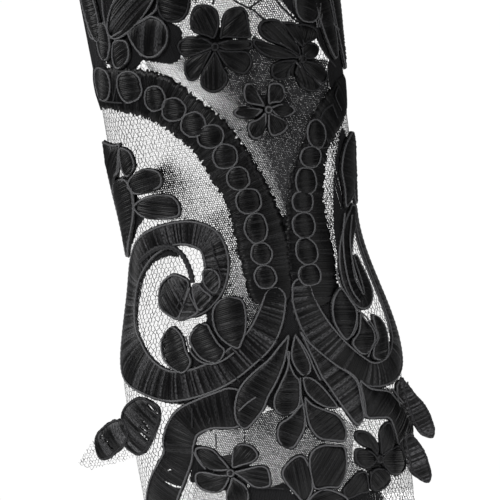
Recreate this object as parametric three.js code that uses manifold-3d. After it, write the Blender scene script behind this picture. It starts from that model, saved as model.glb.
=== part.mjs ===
// Evening mitten: a tube of fine net over the wrist and the back of the hand, with corded lace
// motifs laid on its front. Millimetres, +Z up the arm, -Y towards the front of the lace.
// The origin is the middle of the wrist, where the mitten is narrowest.
import * as THREE from 'three';
import Module from 'manifold-3d';

// Driving dimensions
const LENGTH = 160;
const TOP_WIDTH = 66.4;
const TOP_DEPTH = 56;
const ARM_WIDTH = 62.4;
const ARM_DEPTH = 48;
const WRIST_WIDTH = 59;
const WRIST_DEPTH = 44.4;
const PALM_WIDTH = 71.6;
const PALM_DEPTH = 45.2;
const HEM_WIDTH = 69;
const HEM_DEPTH = 47;

const NET_WALL = 1;
const GAP = 0.35;
const MOTIF_THICKNESS = 1.2;
const BEAD_RISE = 0.7;
const HEM_BAND_HEIGHT = 5;
const SCALLOP_COUNT = 12;
const SCALLOP_DEPTH = 4;
const EDGING_WIDTH = 2.4;
const FLAP_LEAVE = 0.8;
const FLAP_SWEEP_DEG = 12;

// Facets
const SIDES = 48;
const PETAL_POINTS = 14;
const BEAD_POINTS = 8;
const BAND_STEPS = 2;
const CAP_STEPS = 4;
const FACET_SQUARES = 4.6;
const FACET_STRETCH = 1.8;

// The lace is drafted on squared paper wrapped round the sleeve. SQUARES_ROUND of them go round
// it and SQUARES_TALL along it, so the motifs stretch with the sleeve as worn lace does.
// x counts squares from the front middle, y counts them up from the wrist.
const SQUARES_ROUND = 180;
const SQUARES_TALL = 160;
const SQUARES_BELOW_WRIST = 81;
const SQUARES_ABOVE_WRIST = SQUARES_TALL - SQUARES_BELOW_WRIST;

// The sleeve's oval from hem to top, a row for each change of girth
const STATIONS = [
  { y: -81, width: HEM_WIDTH, depth: HEM_DEPTH },
  { y: -36, width: PALM_WIDTH, depth: PALM_DEPTH },
  { y: 0, width: WRIST_WIDTH, depth: WRIST_DEPTH },
  { y: 25, width: ARM_WIDTH, depth: ARM_DEPTH },
  { y: 79, width: TOP_WIDTH, depth: TOP_DEPTH },
];

// Levels of the sleeve's rings of facets above the scalloped hem, closer where the girth changes
const SLEEVE_LEVELS = [-66, -50, -40, -32, -25, -18, -11, -4, 4, 13, 25, 43, 61, 79];

// Petals and leaves: root, tip, width, and how far the root end is narrowed
const PETAL_COLUMNS = ['rootX', 'rootY', 'tipX', 'tipY', 'width', 'pinch'];
const PETALS = {
  small_flower: [
    [10, 30.5, 6.5, 37, 4.5, 0.3], [11, 30.5, 15, 36, 4.5, 0.3], [10, 29, 2, 30, 3.5, 0.2],
    [11, 29.5, 18.5, 28.5, 3.5, 0.2], [10, 28.5, 6, 22.5, 4.5, 0.3], [10.5, 28.5, 14, 22, 5.5, 0.3],
  ],
  arm_flower_left: [
    [-0.5, 48, -1.5, 58, 7.5, 0.25], [2, 47.5, 6.5, 56, 6.5, 0.25], [0, 46.5, -9.5, 48, 5, 0.2],
    [1, 47.5, 9, 46.5, 3.5, 0.2], [-2, 45, -8.5, 40, 5, 0.3], [-0.5, 46.5, -2, 35.5, 7.5, 0.35],
    [0.5, 45.5, 8, 40.5, 6, 0.3],
  ],
  arm_flower_right: [
    [23, 42.5, 12.5, 52, 8, 0.3], [23, 41.5, 8.5, 46, 4.5, 0.3], [20, 42.5, 15, 36.5, 5, 0.1],
    [21, 41, 25.5, 33, 7, 0.2], [23, 41, 30.5, 37, 5, 0.2], [24.5, 42.5, 23.5, 50.5, 8.5, 0.1],
  ],
  arm_petal_round: [[-7.5, 65, -9.5, 54.5, 8.5, 0]],
  arm_leaf_satin: [[-16.5, 56.5, -16.5, 46.5, 10, 0.1]],
  arm_leaf_tall: [[-27.5, 53.5, -12.5, 67, 8.5, 0.2]],
  arm_drop: [[-27, 45, -23.5, 53, 6, 0]],
  arm_petal_right: [[26.5, 60, 25, 50, 9, 0]],
  edge_leaf_lower: [[-31.5, 48, -29.5, 58, 6, 0.1]],
  edge_leaf_upper: [[-32.5, 53, -35, 70, 7, 0.2]],
  edge_leaf_scroll: [[-36, 38, -34, 47, 9, 0.1]],
  side_leaf_upper: [[35.5, 40.5, 28.5, 64, 7, 0.2]],
  side_leaf_outer: [[44, 38, 37, 62, 8, 0.2]],
  left_flower: [[-30, 15.5, -19, 16, 7, 0], [-32, 10, -15.5, 8.5, 7, 0]],
  left_petal_upper: [[-32.5, 19.5, -28.5, 25, 6, 0.1]],
  left_petal_edge: [[-39, 15, -35.5, 28.5, 8, 0.1]],
  left_stem_leaf: [[-38.5, 0.5, -31, 18.5, 6, 0.1]],
  bud_round: [[-6.5, -29, -5.5, -14.5, 8.5, 0]],
  bud_middle: [[-10.5, -32, -14, -22, 7, 0.2]],
  bud_low: [[-19, -33.5, -22, -21, 6.5, 0.2]],
  right_oval: [[23, -30.5, 23.5, -18, 7, 0]],
  right_bud_middle: [[27, -34, 27, -25, 5, 0]],
  right_bud_low: [[32.5, -37.5, 32, -25.5, 5, 0]],
  right_strip: [[30, -1, 36.5, 21, 6.5, 0]],
  right_strip_outer: [[41, 3, 45, 21.5, 6.5, 0]],
  drop_upper: [[10, -27, 9, -37.5, 5.5, 0.3]],
  drop_right: [[9, -38, 17, -47.5, 5, 0.2]],
  drop_left: [[8.5, -30, 4, -46.5, 6.5, 0.6]],
  drop_low_left: [[8.5, -46, 3, -55.5, 6.5, 0.3]],
  drop_low_right: [[9.5, -43, 16.5, -55.5, 8.5, 0.3]],
  leaf_long: [[11, -28, 21.5, -52.5, 7.5, 0.6]],
  leaf_left: [[7, -30, -6.5, -49.5, 7, 0.6]],
  leaf_hem_right: [[27, -42.5, 33.5, -58, 11, 0.2]],
  leaf_hem_outer: [[37, -43, 43, -60, 8, 0.2]],
  hem_flower_left: [
    [-10.5, -59, -18.5, -53.5, 6, 0.3], [-10, -59, -6, -53, 6, 0.3], [-9.5, -59.5, -1.5, -61, 5, 0.3],
    [-11, -60, -20, -61, 5.5, 0.3], [-10, -60.5, -10, -68.5, 6.5, 0.3],
  ],
  hem_flower_middle: [
    [9, -69.5, 4, -57.5, 6.5, 0.1], [9.5, -69.5, 13, -56.5, 9.5, 0.1], [12.5, -70, 23, -65.5, 6, 0.1],
  ],
  hem_flower_right: [
    [25.5, -59, 21, -53.5, 6, 0.1], [27, -59.5, 30, -52.5, 6, 0.1], [27, -60, 35, -64, 7.5, 0.1],
    [25, -60, 21.5, -63.5, 5.5, 0.1], [26.5, -61, 24.5, -70, 5, 0.1],
  ],
};

// Bands and scrolls: a row for each point of the middle line, with the width there
const BAND_COLUMNS = ['x', 'y', 'width'];
const BANDS = {
  hook_right: [
    [38.5, 0.5, 6], [33.5, -3.5, 5.5], [29.5, -9.5, 5.5], [28, -16, 5.5], [29.5, -21, 5.5], [32.5, -21, 4],
    [34, -17.5, 4.5], [33.5, -11, 3],
  ],
  volute_left: [
    [6, -18, 6.5], [4, -22.5, 7.5], [1, -27, 8], [-3.5, -30.5, 8], [-9.5, -34, 8], [-16.5, -36, 8],
    [-23.5, -36, 8.5], [-30, -33, 10], [-36.5, -27.5, 13], [-39, -20.5, 10.5], [-39, -13, 8.5], [-37, -6.5, 8.5],
    [-31.5, -1.5, 8], [-25.5, 1, 7], [-19.5, 2, 6.5], [-14, 1.5, 7], [-9.5, -1, 7.5], [-8, -5.5, 7.5],
    [-8.5, -10, 7], [-11, -14, 7], [-15.5, -16, 7.5], [-20, -14, 8],
  ],
  volute_right: [
    [13.5, -16.5, 6], [13.5, -20, 7], [15, -26, 8], [18, -32, 8.5], [22.5, -37, 8], [28.5, -40.5, 7],
    [35.5, -39.5, 7.5], [40.5, -35, 8.5], [41.5, -29, 7], [41.5, -22.5, 7], [41.5, -17, 7], [41.5, -11, 7],
    [41.5, -5.5, 7], [42, -0.5, 7],
  ],
  scroll_left: [
    [-40, 42, 10.5], [-32, 41, 10.5], [-23, 39, 12], [-16, 36, 12.5], [-10, 30.5, 11.5], [-4.5, 24.5, 11.5],
    [-0.5, 16.5, 12], [2.5, 10, 12], [4.5, 2.5, 14], [5.5, -5, 14.5], [5.5, -13.5, 13],
  ],
  scroll_right: [
    [42, 34, 5], [38.5, 31.5, 9], [32, 27.5, 9.5], [26, 22.5, 9], [22.5, 16.5, 9.5], [20.5, 10.5, 11],
    [19.5, 5, 11.5], [19, -0.5, 13], [18.5, -7, 14.5], [17.5, -14.5, 13.5],
  ],
  band_low_left: [
    [-9, -43.5, 11], [-15, -44, 9], [-20.5, -46, 9], [-23.5, -50, 9.5], [-24, -54, 9.5], [-26.5, -59, 10],
    [-30, -65, 12], [-33, -71, 12],
  ],
};

// Beads raised on the scrolls, in the band's own body
const BEAD_COLUMNS = ['x', 'y', 'wide', 'tall'];
const BEADS = {
  scroll_left: [
    [-24.5, 40.5, 7.5, 7.5], [-17.5, 36.5, 5.5, 6], [-13, 33, 6, 5.5], [-8.5, 28.5, 6, 6], [-4.5, 25, 6.5, 5.5],
    [-1.5, 19.5, 6, 6], [1, 13.5, 5.5, 5.5], [3, 7.5, 6.5, 6], [4, 0.5, 6, 7], [4.5, -6, 5.5, 5], [4.5, -12, 5.5, 5.5],
  ],
  scroll_right: [
    [24, 22, 5.5, 7], [21.5, 16.5, 6, 5], [19.5, 10.5, 6, 6.5], [18, 5.5, 6, 5], [17.5, -0.5, 6.5, 6],
    [17, -7, 6, 6.5], [16.5, -13, 6, 5],
  ],
};

// Pieces that leave the sleeve's side and stand out from it, on the paper carried on straight
const FLAP_PETALS = {
  free_leaf_upper: [[30.5, -40.5, 40.5, -58.5, 4.5, 0.5]],
  free_leaf_lower: [[30, -53, 38.5, -70, 4.5, 0.5]],
  lobe_inner: [[-26, -39, -33.5, -52, 10.5, 0]],
  lobe_outer: [[-34, -43.5, -44, -52, 8, 0]],
};
const FRILL_OUTLINE = [
  [-29.5, -41], [-38, -42], [-46, -47], [-51, -52.5], [-48, -54.5], [-39.5, -53.5], [-31.5, -51], [-28, -46],
];

const wasm = await Module();
wasm.setup();
const { CrossSection } = wasm;

const rowAs = (columns, row) => Object.fromEntries(columns.map((name, i) => [name, row[i]]));
const smooth = (t) => t * t * (3 - 2 * t);

// Half width and half depth of the net's outer face at a level of the chart
function ovalAt(y) {
  const level = THREE.MathUtils.clamp(y, STATIONS[0].y, STATIONS.at(-1).y);
  const next = Math.max(1, STATIONS.findIndex((station) => station.y >= level));
  const [low, high] = [STATIONS[next - 1], STATIONS[next]];
  const share = smooth((level - low.y) / (high.y - low.y));
  return {
    a: THREE.MathUtils.lerp(low.width, high.width, share) / 2,
    b: THREE.MathUtils.lerp(low.depth, high.depth, share) / 2,
  };
}

// Angle on the oval, from the front middle, at which an equal share of its girth is passed
const ARC_STEPS = 90;
function walkOval({ a, b }) {
  const lengths = [0];
  for (let i = 0; i < ARC_STEPS; i++) {
    const angle = ((i + 0.5) * Math.PI) / ARC_STEPS;
    const step = (Math.hypot(a * Math.cos(angle), b * Math.sin(angle)) * Math.PI) / ARC_STEPS;
    lengths.push(lengths[i] + step);
  }
  return lengths;
}

function angleAt(lengths, distance) {
  const wanted = Math.min(Math.abs(distance), lengths.at(-1));
  const i = Math.max(1, lengths.findIndex((length) => length >= wanted));
  const share = (wanted - lengths[i - 1]) / (lengths[i] - lengths[i - 1]);
  return (Math.sign(distance) * (i - 1 + share) * Math.PI) / ARC_STEPS;
}

const levelToZ = (y) => (y * LENGTH) / SQUARES_TALL;
const squaresOf = (length) => (length * SQUARES_TALL) / LENGTH;

// A point of the chart on the sleeve, `off` outside the net's outer face
function onSleeve(x, y, off) {
  const oval = ovalAt(y);
  const lengths = walkOval(oval);
  const angle = angleAt(lengths, (x * 2 * lengths.at(-1)) / SQUARES_ROUND);
  const normal = new THREE.Vector2(oval.b * Math.sin(angle), -oval.a * Math.cos(angle)).normalize();
  return [
    oval.a * Math.sin(angle) + off * normal.x,
    -oval.b * Math.cos(angle) + off * normal.y,
    levelToZ(y),
  ];
}

// The same for a flap: past FLAP_LEAVE of the half width it goes on straight, out to the side
function onFlap(x, y, off) {
  const oval = ovalAt(y);
  const lengths = walkOval(oval);
  const leaveAngle = Math.asin(FLAP_LEAVE);
  const leaveStep = (leaveAngle / Math.PI) * ARC_STEPS;
  const whole = Math.floor(leaveStep);
  const leave = THREE.MathUtils.lerp(lengths[whole], lengths[whole + 1], leaveStep - whole);
  const distance = (Math.abs(x) * 2 * lengths.at(-1)) / SQUARES_ROUND;
  if (distance <= leave) return onSleeve(x, y, off);
  const side = Math.sign(x);
  const edge = onSleeve((side * leave * SQUARES_ROUND) / (2 * lengths.at(-1)), y, off);
  const sweep = THREE.MathUtils.degToRad(FLAP_SWEEP_DEG);
  const past = distance - leave;
  return [edge[0] + side * past * Math.cos(sweep), edge[1] + past * Math.sin(sweep), edge[2]];
}

// Egg-shaped outline of a petal, wider towards its tip
function petalOutline(row) {
  const { rootX, rootY, tipX, tipY, width, pinch } = rowAs(PETAL_COLUMNS, row);
  const root = new THREE.Vector2(rootX, rootY);
  const along = new THREE.Vector2(tipX, tipY).sub(root);
  const across = new THREE.Vector2(-along.y, along.x).normalize();
  const spread = Array.from({ length: PETAL_POINTS }, (_, i) => {
    const angle = (2 * Math.PI * (i + 0.5)) / PETAL_POINTS;
    const share = (1 - Math.cos(angle)) / 2;
    return { share, half: Math.sin(angle) * (1 - pinch + pinch * share) };
  });
  const widest = Math.max(...spread.map((point) => point.half));
  return spread.map(({ share, half }) => {
    const point = root.clone().addScaledVector(along, share);
    return point.addScaledVector(across, (half / widest) * (width / 2)).toArray();
  });
}

// Outline of a band: both sides of its middle line, with round ends
function bandOutline(rows) {
  const points = rows.map((row) => rowAs(BAND_COLUMNS, row));
  const middle = new THREE.CatmullRomCurve3(
    points.map(({ x, y, width }) => new THREE.Vector3(x, y, width / 2)), false, 'catmullrom', 0.5,
  );
  const steps = (points.length - 1) * BAND_STEPS;
  const left = [];
  const right = [];
  for (let i = 0; i <= steps; i++) {
    const { x, y, z: half } = middle.getPoint(i / steps);
    const { x: dx, y: dy } = middle.getTangent(i / steps);
    const along = new THREE.Vector2(dx, dy).normalize();
    left.push([x - along.y * half, y + along.x * half]);
    right.push([x + along.y * half, y - along.x * half]);
  }
  return [...left, ...capFrom(left.at(-1), right.at(-1)), ...right.reverse(), ...capFrom(right.at(-1), left[0])];
}

// Half round from one side of a band to the other, clockwise as the outline runs
function capFrom(start, end) {
  const centre = new THREE.Vector2((start[0] + end[0]) / 2, (start[1] + end[1]) / 2);
  const arm = new THREE.Vector2(...start).sub(centre);
  return Array.from({ length: CAP_STEPS - 1 }, (_, i) => {
    const angle = (-Math.PI * (i + 1)) / CAP_STEPS;
    return arm.clone().rotateAround(new THREE.Vector2(), angle).add(centre).toArray();
  });
}

function beadOutline(row) {
  const { x, y, wide, tall } = rowAs(BEAD_COLUMNS, row);
  return Array.from({ length: BEAD_POINTS }, (_, i) => {
    const angle = (2 * Math.PI * i) / BEAD_POINTS;
    return [x + (wide / 2) * Math.cos(angle), y + (tall / 2) * Math.sin(angle)];
  });
}

const shapeOf = (outlines) => new CrossSection(outlines, 'NonZero');

// The biggest part of a shape, without its holes
function largest(shape) {
  const outlines = shape.toPolygons();
  const sizes = outlines.map((outline) => shapeOf([outline]).area());
  return shapeOf([outlines[sizes.indexOf(Math.max(...sizes))]]);
}

// Keeps a clear gap to every piece already laid in the same layer
const squareSize = walkOval(ovalAt(0)).at(-1) * 2 / SQUARES_ROUND;
const topBandLevel = SQUARES_ABOVE_WRIST - squaresOf(HEM_BAND_HEIGHT);
const edgingLevel = -SQUARES_BELOW_WRIST + squaresOf(SCALLOP_DEPTH + EDGING_WIDTH);
const stripBetween = (low, high) => [
  [-SQUARES_ROUND, low], [SQUARES_ROUND, low], [SQUARES_ROUND, high], [-SQUARES_ROUND, high],
];
const sleeveLayer = [
  shapeOf([stripBetween(-SQUARES_TALL, edgingLevel + squaresOf(GAP))]),
  shapeOf([stripBetween(topBandLevel - squaresOf(GAP), SQUARES_TALL)]),
];
const flapLayer = [];
const FINEST_CORNER = 0.08;
const GAP_ARC_SEGMENTS = 12;
const MITRE_LIMIT = 2;
function layBeside(outlines, layer) {
  let shape = shapeOf(outlines);
  for (const other of layer) shape = shape.subtract(other);
  shape = largest(shape).simplify(FINEST_CORNER);
  layer.push(shape.offset(GAP / squareSize, 'Round', MITRE_LIMIT, GAP_ARC_SEGMENTS));
  return shape;
}

const material = (color, roughness) => new THREE.MeshStandardMaterial({ color, roughness, metalness: 0 });
const satin = material(0x1d1d22, 0.5);
const net = material(0x45454b, 0.9);
const cord = material(0x3a3a42, 0.6);

const mitten = new THREE.Group();
mitten.name = 'evening_mitten';

function addMesh(name, geometry, surface) {
  const mesh = new THREE.Mesh(geometry, surface);
  mesh.name = name;
  mitten.add(mesh);
}

function geometryOf(solid) {
  const { vertProperties, triVerts, numProp } = solid.getMesh();
  const positions = [];
  for (let i = 0; i < vertProperties.length; i += numProp) {
    positions.push(vertProperties[i], vertProperties[i + 1], vertProperties[i + 2]);
  }
  const geometry = new THREE.BufferGeometry();
  geometry.setAttribute('position', new THREE.Float32BufferAttribute(positions, 3));
  geometry.setIndex([...triVerts]);
  geometry.computeVertexNormals();
  return geometry;
}

// Wraps a solid drafted flat on the chart, its z outwards, onto the sleeve. The sleeve bends
// mostly around its length, so facets may be FACET_STRETCH times as tall as they are wide.
function wrap(flat, place, base) {
  const facets = flat.scale([1, 1 / FACET_STRETCH, 1]).refineToLength(FACET_SQUARES).scale([1, FACET_STRETCH, 1]);
  return facets.warp((vertex) => {
    [vertex[0], vertex[1], vertex[2]] = place(vertex[0], vertex[1], base + vertex[2]);
  });
}

function addMotif(name, outlines, beads = []) {
  const shape = layBeside(outlines, sleeveLayer);
  let flat = shape.extrude(MOTIF_THICKNESS);
  for (const bead of beads) {
    flat = flat.add(shapeOf([beadOutline(bead)]).intersect(shape).extrude(MOTIF_THICKNESS + BEAD_RISE));
  }
  addMesh(name, geometryOf(wrap(flat, onSleeve, GAP)), satin);
}

// A closed wall between an outer and an inner face, each a function of the turn and the row
function ringWall(outer, inner, rows) {
  const positions = [];
  const index = [];
  const at = (row, side, layer) => (row * SIDES + (side % SIDES)) * 2 + layer;
  for (let row = 0; row <= rows; row++) {
    for (let side = 0; side < SIDES; side++) {
      positions.push(...outer(side / SIDES, row), ...inner(side / SIDES, row));
    }
  }
  const quad = (p, q, r, s) => index.push(p, q, r, p, r, s);
  for (let side = 0; side < SIDES; side++) {
    for (let row = 0; row < rows; row++) {
      quad(at(row, side, 0), at(row, side + 1, 0), at(row + 1, side + 1, 0), at(row + 1, side, 0));
      quad(at(row, side, 1), at(row + 1, side, 1), at(row + 1, side + 1, 1), at(row, side + 1, 1));
    }
    quad(at(0, side, 0), at(0, side, 1), at(0, side + 1, 1), at(0, side + 1, 0));
    quad(at(rows, side, 0), at(rows, side + 1, 0), at(rows, side + 1, 1), at(rows, side, 1));
  }
  const geometry = new THREE.BufferGeometry();
  geometry.setAttribute('position', new THREE.Float32BufferAttribute(positions, 3));
  geometry.setIndex(index);
  geometry.computeVertexNormals();
  return geometry;
}

const turnToX = (turn) => (turn - 0.5) * SQUARES_ROUND;

// Height of the scalloped hem at a turn of the sleeve
function hemLevel(turn) {
  const phase = (turn * SCALLOP_COUNT) % 1;
  return -SQUARES_BELOW_WRIST + squaresOf(SCALLOP_DEPTH * (1 - Math.sin(Math.PI * phase)));
}

function netSleeve() {
  const face = (off) => (turn, row) => {
    const level = row === 0 ? hemLevel(turn) : SLEEVE_LEVELS[row - 1];
    return onSleeve(turnToX(turn), level, off);
  };
  return ringWall(face(0), face(-NET_WALL), SLEEVE_LEVELS.length);
}

function topBand() {
  const face = (off) => (turn, row) =>
    onSleeve(turnToX(turn), row === 0 ? topBandLevel : SQUARES_ABOVE_WRIST, off);
  return ringWall(face(GAP + MOTIF_THICKNESS), face(GAP), 1);
}

function hemEdging() {
  const face = (off) => (turn, row) =>
    onSleeve(turnToX(turn), hemLevel(turn) + squaresOf(EDGING_WIDTH) * row, off);
  return ringWall(face(GAP + MOTIF_THICKNESS), face(GAP), 1);
}

function addFlap(name, shape, base, surface) {
  addMesh(name, geometryOf(wrap(shape.extrude(MOTIF_THICKNESS), onFlap, base)), surface);
}

addMesh('net_sleeve', netSleeve(), net);
addMesh('top_band', topBand(), cord);
addMesh('hem_edging', hemEdging(), cord);
for (const [name, rows] of Object.entries(PETALS)) addMotif(name, rows.map(petalOutline));
for (const [name, rows] of Object.entries(BANDS)) addMotif(name, [bandOutline(rows)], BEADS[name]);
const secondLayer = GAP + MOTIF_THICKNESS + GAP;
addFlap('side_frill', layBeside([FRILL_OUTLINE], sleeveLayer), GAP, net);
for (const [name, rows] of Object.entries(FLAP_PETALS)) {
  addFlap(name, layBeside(rows.map(petalOutline), flapLayer), secondLayer, satin);
}

export default mitten;
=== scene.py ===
import math

import bpy
import numpy as np
from mathutils import Matrix


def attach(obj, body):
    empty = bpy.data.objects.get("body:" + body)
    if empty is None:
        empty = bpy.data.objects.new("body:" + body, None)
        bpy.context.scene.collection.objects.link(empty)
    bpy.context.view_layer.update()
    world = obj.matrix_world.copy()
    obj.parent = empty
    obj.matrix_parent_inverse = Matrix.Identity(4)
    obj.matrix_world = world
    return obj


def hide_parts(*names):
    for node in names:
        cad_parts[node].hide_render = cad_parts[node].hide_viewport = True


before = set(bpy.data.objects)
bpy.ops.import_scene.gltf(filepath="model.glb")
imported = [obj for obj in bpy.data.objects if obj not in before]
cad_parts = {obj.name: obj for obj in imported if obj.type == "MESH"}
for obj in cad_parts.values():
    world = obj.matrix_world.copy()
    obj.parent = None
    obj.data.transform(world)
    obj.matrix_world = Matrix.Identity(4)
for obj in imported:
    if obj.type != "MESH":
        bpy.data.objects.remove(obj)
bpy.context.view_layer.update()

mm = 0.001

# The sleeve's oval, at levels counted in chart squares up from the wrist. Half sizes in mm.
sleeve = {
    "squaresRound": 180, "squaresTall": 160, "length": 160.0,
    "levels": [-81, -36, 0, 25, 79],
    "halfWidth": [34.5, 35.8, 29.5, 31.2, 33.2],
    "halfDepth": [23.5, 22.6, 22.2, 24.0, 28.0],
    "scallops": 12, "scallopDepth": 4.0,
    "flapLeave": 0.8, "flapSweep": 12.0,
}

# Satin stitch in mm: spacing, rows of points to a thread, heights, how ragged its edges are, how it shines;
# the shine is painted sheen, a lighter thread colour
satinStitch = {
    "pitch": 0.45, "rowsPerThread": 3, "across": 8,
    "edge": 0.3, "dome": 0.8, "crownPower": 2.4, "fullFrom": 0.6, "fullPower": 0.7, "heightSpread": 0.08,
    "ridge": 0.07, "edgeRidge": 0.4,
    "toothPetal": 0.06, "toothBand": 0.3, "fullToothFrom": 1.5, "leastHalf": 0.02,
    "shine": 0.35, "sheenPaintedShine": 0.7, "shineCurve": 2.2,
}
# The cord that edges it: radius, spacing of its points, and the number, length and height of its plies
gimp = {"radius": 0.26, "step": 0.5, "plies": 2, "ply": 1.4, "twist": 0.2}
random = np.random.default_rng(11)

# Walking round each oval once gives the angle for any share of its girth
ratios = np.linspace(0.5, 1.0, 41)
turns = np.linspace(0, math.pi, 721)
shares = np.linspace(0, 1, 361)
walks = []
for ratio in ratios:
    steps = np.hypot(np.cos(turns), ratio * np.sin(turns))
    walks.append(np.concatenate([[0], np.cumsum((steps[1:] + steps[:-1]) / 2 * np.diff(turns))]))
walks = np.array(walks)
angleTable = np.array([np.interp(shares, walk / walk[-1], turns) for walk in walks])
halfGirths = walks[:, -1]
leaveAngle = math.asin(sleeve["flapLeave"])
leaveWalks = np.array([np.interp(leaveAngle, turns, walk) for walk in walks])


def ovalAt(y):
    levels = np.array(sleeve["levels"], float)
    y = np.clip(y, levels[0], levels[-1])
    i = np.clip(np.searchsorted(levels, y) - 1, 0, len(levels) - 2)
    t = (y - levels[i]) / (levels[i + 1] - levels[i])
    t = t * t * (3 - 2 * t)
    width, depth = np.array(sleeve["halfWidth"]), np.array(sleeve["halfDepth"])
    return width[i] + (width[i + 1] - width[i]) * t, depth[i] + (depth[i + 1] - depth[i]) * t


def angleAt(share, ratio):
    row = np.clip((ratio - ratios[0]) / (ratios[1] - ratios[0]), 0, len(ratios) - 1.001)
    column = np.clip(share, 0, 1) * (len(shares) - 1.001)
    i, j = row.astype(int), column.astype(int)
    u, v = row - i, column - j
    low = angleTable[i, j] * (1 - v) + angleTable[i, j + 1] * v
    high = angleTable[i + 1, j] * (1 - v) + angleTable[i + 1, j + 1] * v
    return low * (1 - u) + high * u


def onSleeve(x, y, off):  # chart squares, and mm outside the net, to mm
    x, y, off = np.broadcast_arrays(*(np.asarray(v, float) for v in (x, y, off)))
    a, b = ovalAt(y)
    angle = np.sign(x) * angleAt(np.abs(x) * 2 / sleeve["squaresRound"], b / a)
    normal = np.stack([b * np.sin(angle), -a * np.cos(angle)], -1)
    normal /= np.linalg.norm(normal, axis=-1, keepdims=True)
    z = y * sleeve["length"] / sleeve["squaresTall"]
    place = [a * np.sin(angle) + off * normal[..., 0], -b * np.cos(angle) + off * normal[..., 1], z]
    return np.stack(place, -1)


def onFlap(x, y, off):  # the same, but straight on past the leaving line
    x, y, off = np.broadcast_arrays(*(np.asarray(v, float) for v in (x, y, off)))
    a, b = ovalAt(y)
    halfGirth = a * np.interp(b / a, ratios, halfGirths)
    leave = a * np.interp(b / a, ratios, leaveWalks)
    distance = np.abs(x) * 2 / sleeve["squaresRound"] * halfGirth
    past = np.clip(distance - leave, 0, None)
    side = np.sign(x)
    stay = side * np.minimum(distance, leave) / halfGirth * sleeve["squaresRound"] / 2
    sweep = math.radians(sleeve["flapSweep"])
    place = onSleeve(stay, y, off)
    place[..., 0] += side * past * math.cos(sweep)
    place[..., 1] += past * math.sin(sweep)
    return place


def hemLevel(x):
    phase = ((x / sleeve["squaresRound"] + 0.5) * sleeve["scallops"]) % 1
    return sleeve["levels"][0] + sleeve["scallopDepth"] * (1 - np.sin(np.pi * phase))


# Materials
def newMaterial(name):
    material = bpy.data.materials.new(name)
    material.use_nodes = True
    nodes = material.node_tree.nodes
    return material, nodes, material.node_tree.links, nodes["Principled BSDF"]


def mixColors(nodes, links, factor, low, high):
    mix = nodes.new("ShaderNodeMix")
    mix.data_type = "RGBA"
    mix.inputs["A"].default_value = (*low, 1)
    mix.inputs["B"].default_value = (*high, 1)
    links.new(factor, mix.inputs["Factor"])
    return mix.outputs["Result"]


def mapRange(nodes, links, value, low, high, fromLow=0, fromHigh=1):
    node = nodes.new("ShaderNodeMapRange")
    limits = {"From Min": fromLow, "From Max": fromHigh, "To Min": low, "To Max": high}
    for socket, limit in limits.items():
        node.inputs[socket].default_value = limit
    links.new(value, node.inputs["Value"])
    return node.outputs["Result"]


def addNoise(nodes, links, vector, scale, detail):
    noise = nodes.new("ShaderNodeTexNoise")
    noise.inputs["Scale"].default_value = scale
    noise.inputs["Detail"].default_value = detail
    links.new(vector, noise.inputs["Vector"])
    return noise.outputs["Fac"]


def addBump(nodes, links, shader, height, look):
    bump = nodes.new("ShaderNodeBump")
    bump.inputs["Strength"].default_value = look["bump"]
    bump.inputs["Distance"].default_value = look["bumpDepth"] * mm
    links.new(height, bump.inputs["Height"])
    links.new(bump.outputs["Normal"], shader.inputs["Normal"])


def satinMaterial(name, look):
    material, nodes, links, shader = newMaterial(name)
    tone = nodes.new("ShaderNodeAttribute")
    tone.attribute_name = "threadToneAndSheen"
    coordinates = nodes.new("ShaderNodeUVMap")
    coordinates.uv_map = "UVMap"
    stretch = nodes.new("ShaderNodeMapping")
    stretch.inputs["Scale"].default_value = (look["fibreAlong"], look["fibreAcross"], 1)
    links.new(coordinates.outputs["UV"], stretch.inputs["Vector"])
    fibre = addNoise(nodes, links, stretch.outputs["Vector"], 1, look["detail"])
    gloss = mapRange(nodes, links, fibre, *look["roughness"])
    links.new(gloss, shader.inputs["Roughness"])
    grain = mapRange(nodes, links, fibre, 0, look["grainGain"], *look["grainFrom"])
    level = nodes.new("ShaderNodeMath")
    level.operation = "MULTIPLY"
    links.new(tone.outputs["Fac"], level.inputs[0])
    links.new(grain, level.inputs[1])
    # thread tone times fibre grain lightens the thread colour: partly random tone, partly painted sheen and
    # glints
    color = mixColors(nodes, links, level.outputs[0], look["dark"], look["light"])
    links.new(color, shader.inputs["Base Color"])
    addBump(nodes, links, shader, fibre, look)
    shader.inputs["Specular IOR Level"].default_value = look["specular"]
    shader.inputs["Anisotropic"].default_value = look["anisotropic"]
    tangent = nodes.new("ShaderNodeTangent")
    tangent.direction_type = "UV_MAP"
    tangent.uv_map = "UVMap"
    links.new(tangent.outputs["Tangent"], shader.inputs["Tangent"])
    return material


def threadMaterial(name, look):
    material, nodes, links, shader = newMaterial(name)
    ply = nodes.new("ShaderNodeAttribute")
    ply.attribute_name = "plyWave"
    # on cords the ply crests are painted lighter and the grooves between plies darker: painted highlight and
    # painted shade
    level = mapRange(nodes, links, ply.outputs["Fac"], 0, 1, fromLow=-1)
    color = mixColors(nodes, links, level, look["dark"], look["light"])
    links.new(color, shader.inputs["Base Color"])
    place = nodes.new("ShaderNodeTexCoord").outputs["Object"]
    fuzz = addNoise(nodes, links, place, look["fuzz"], look["detail"])
    addBump(nodes, links, shader, fuzz, look)
    shader.inputs["Roughness"].default_value = look["roughness"]
    shader.inputs["Specular IOR Level"].default_value = look["specular"]
    return material
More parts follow.
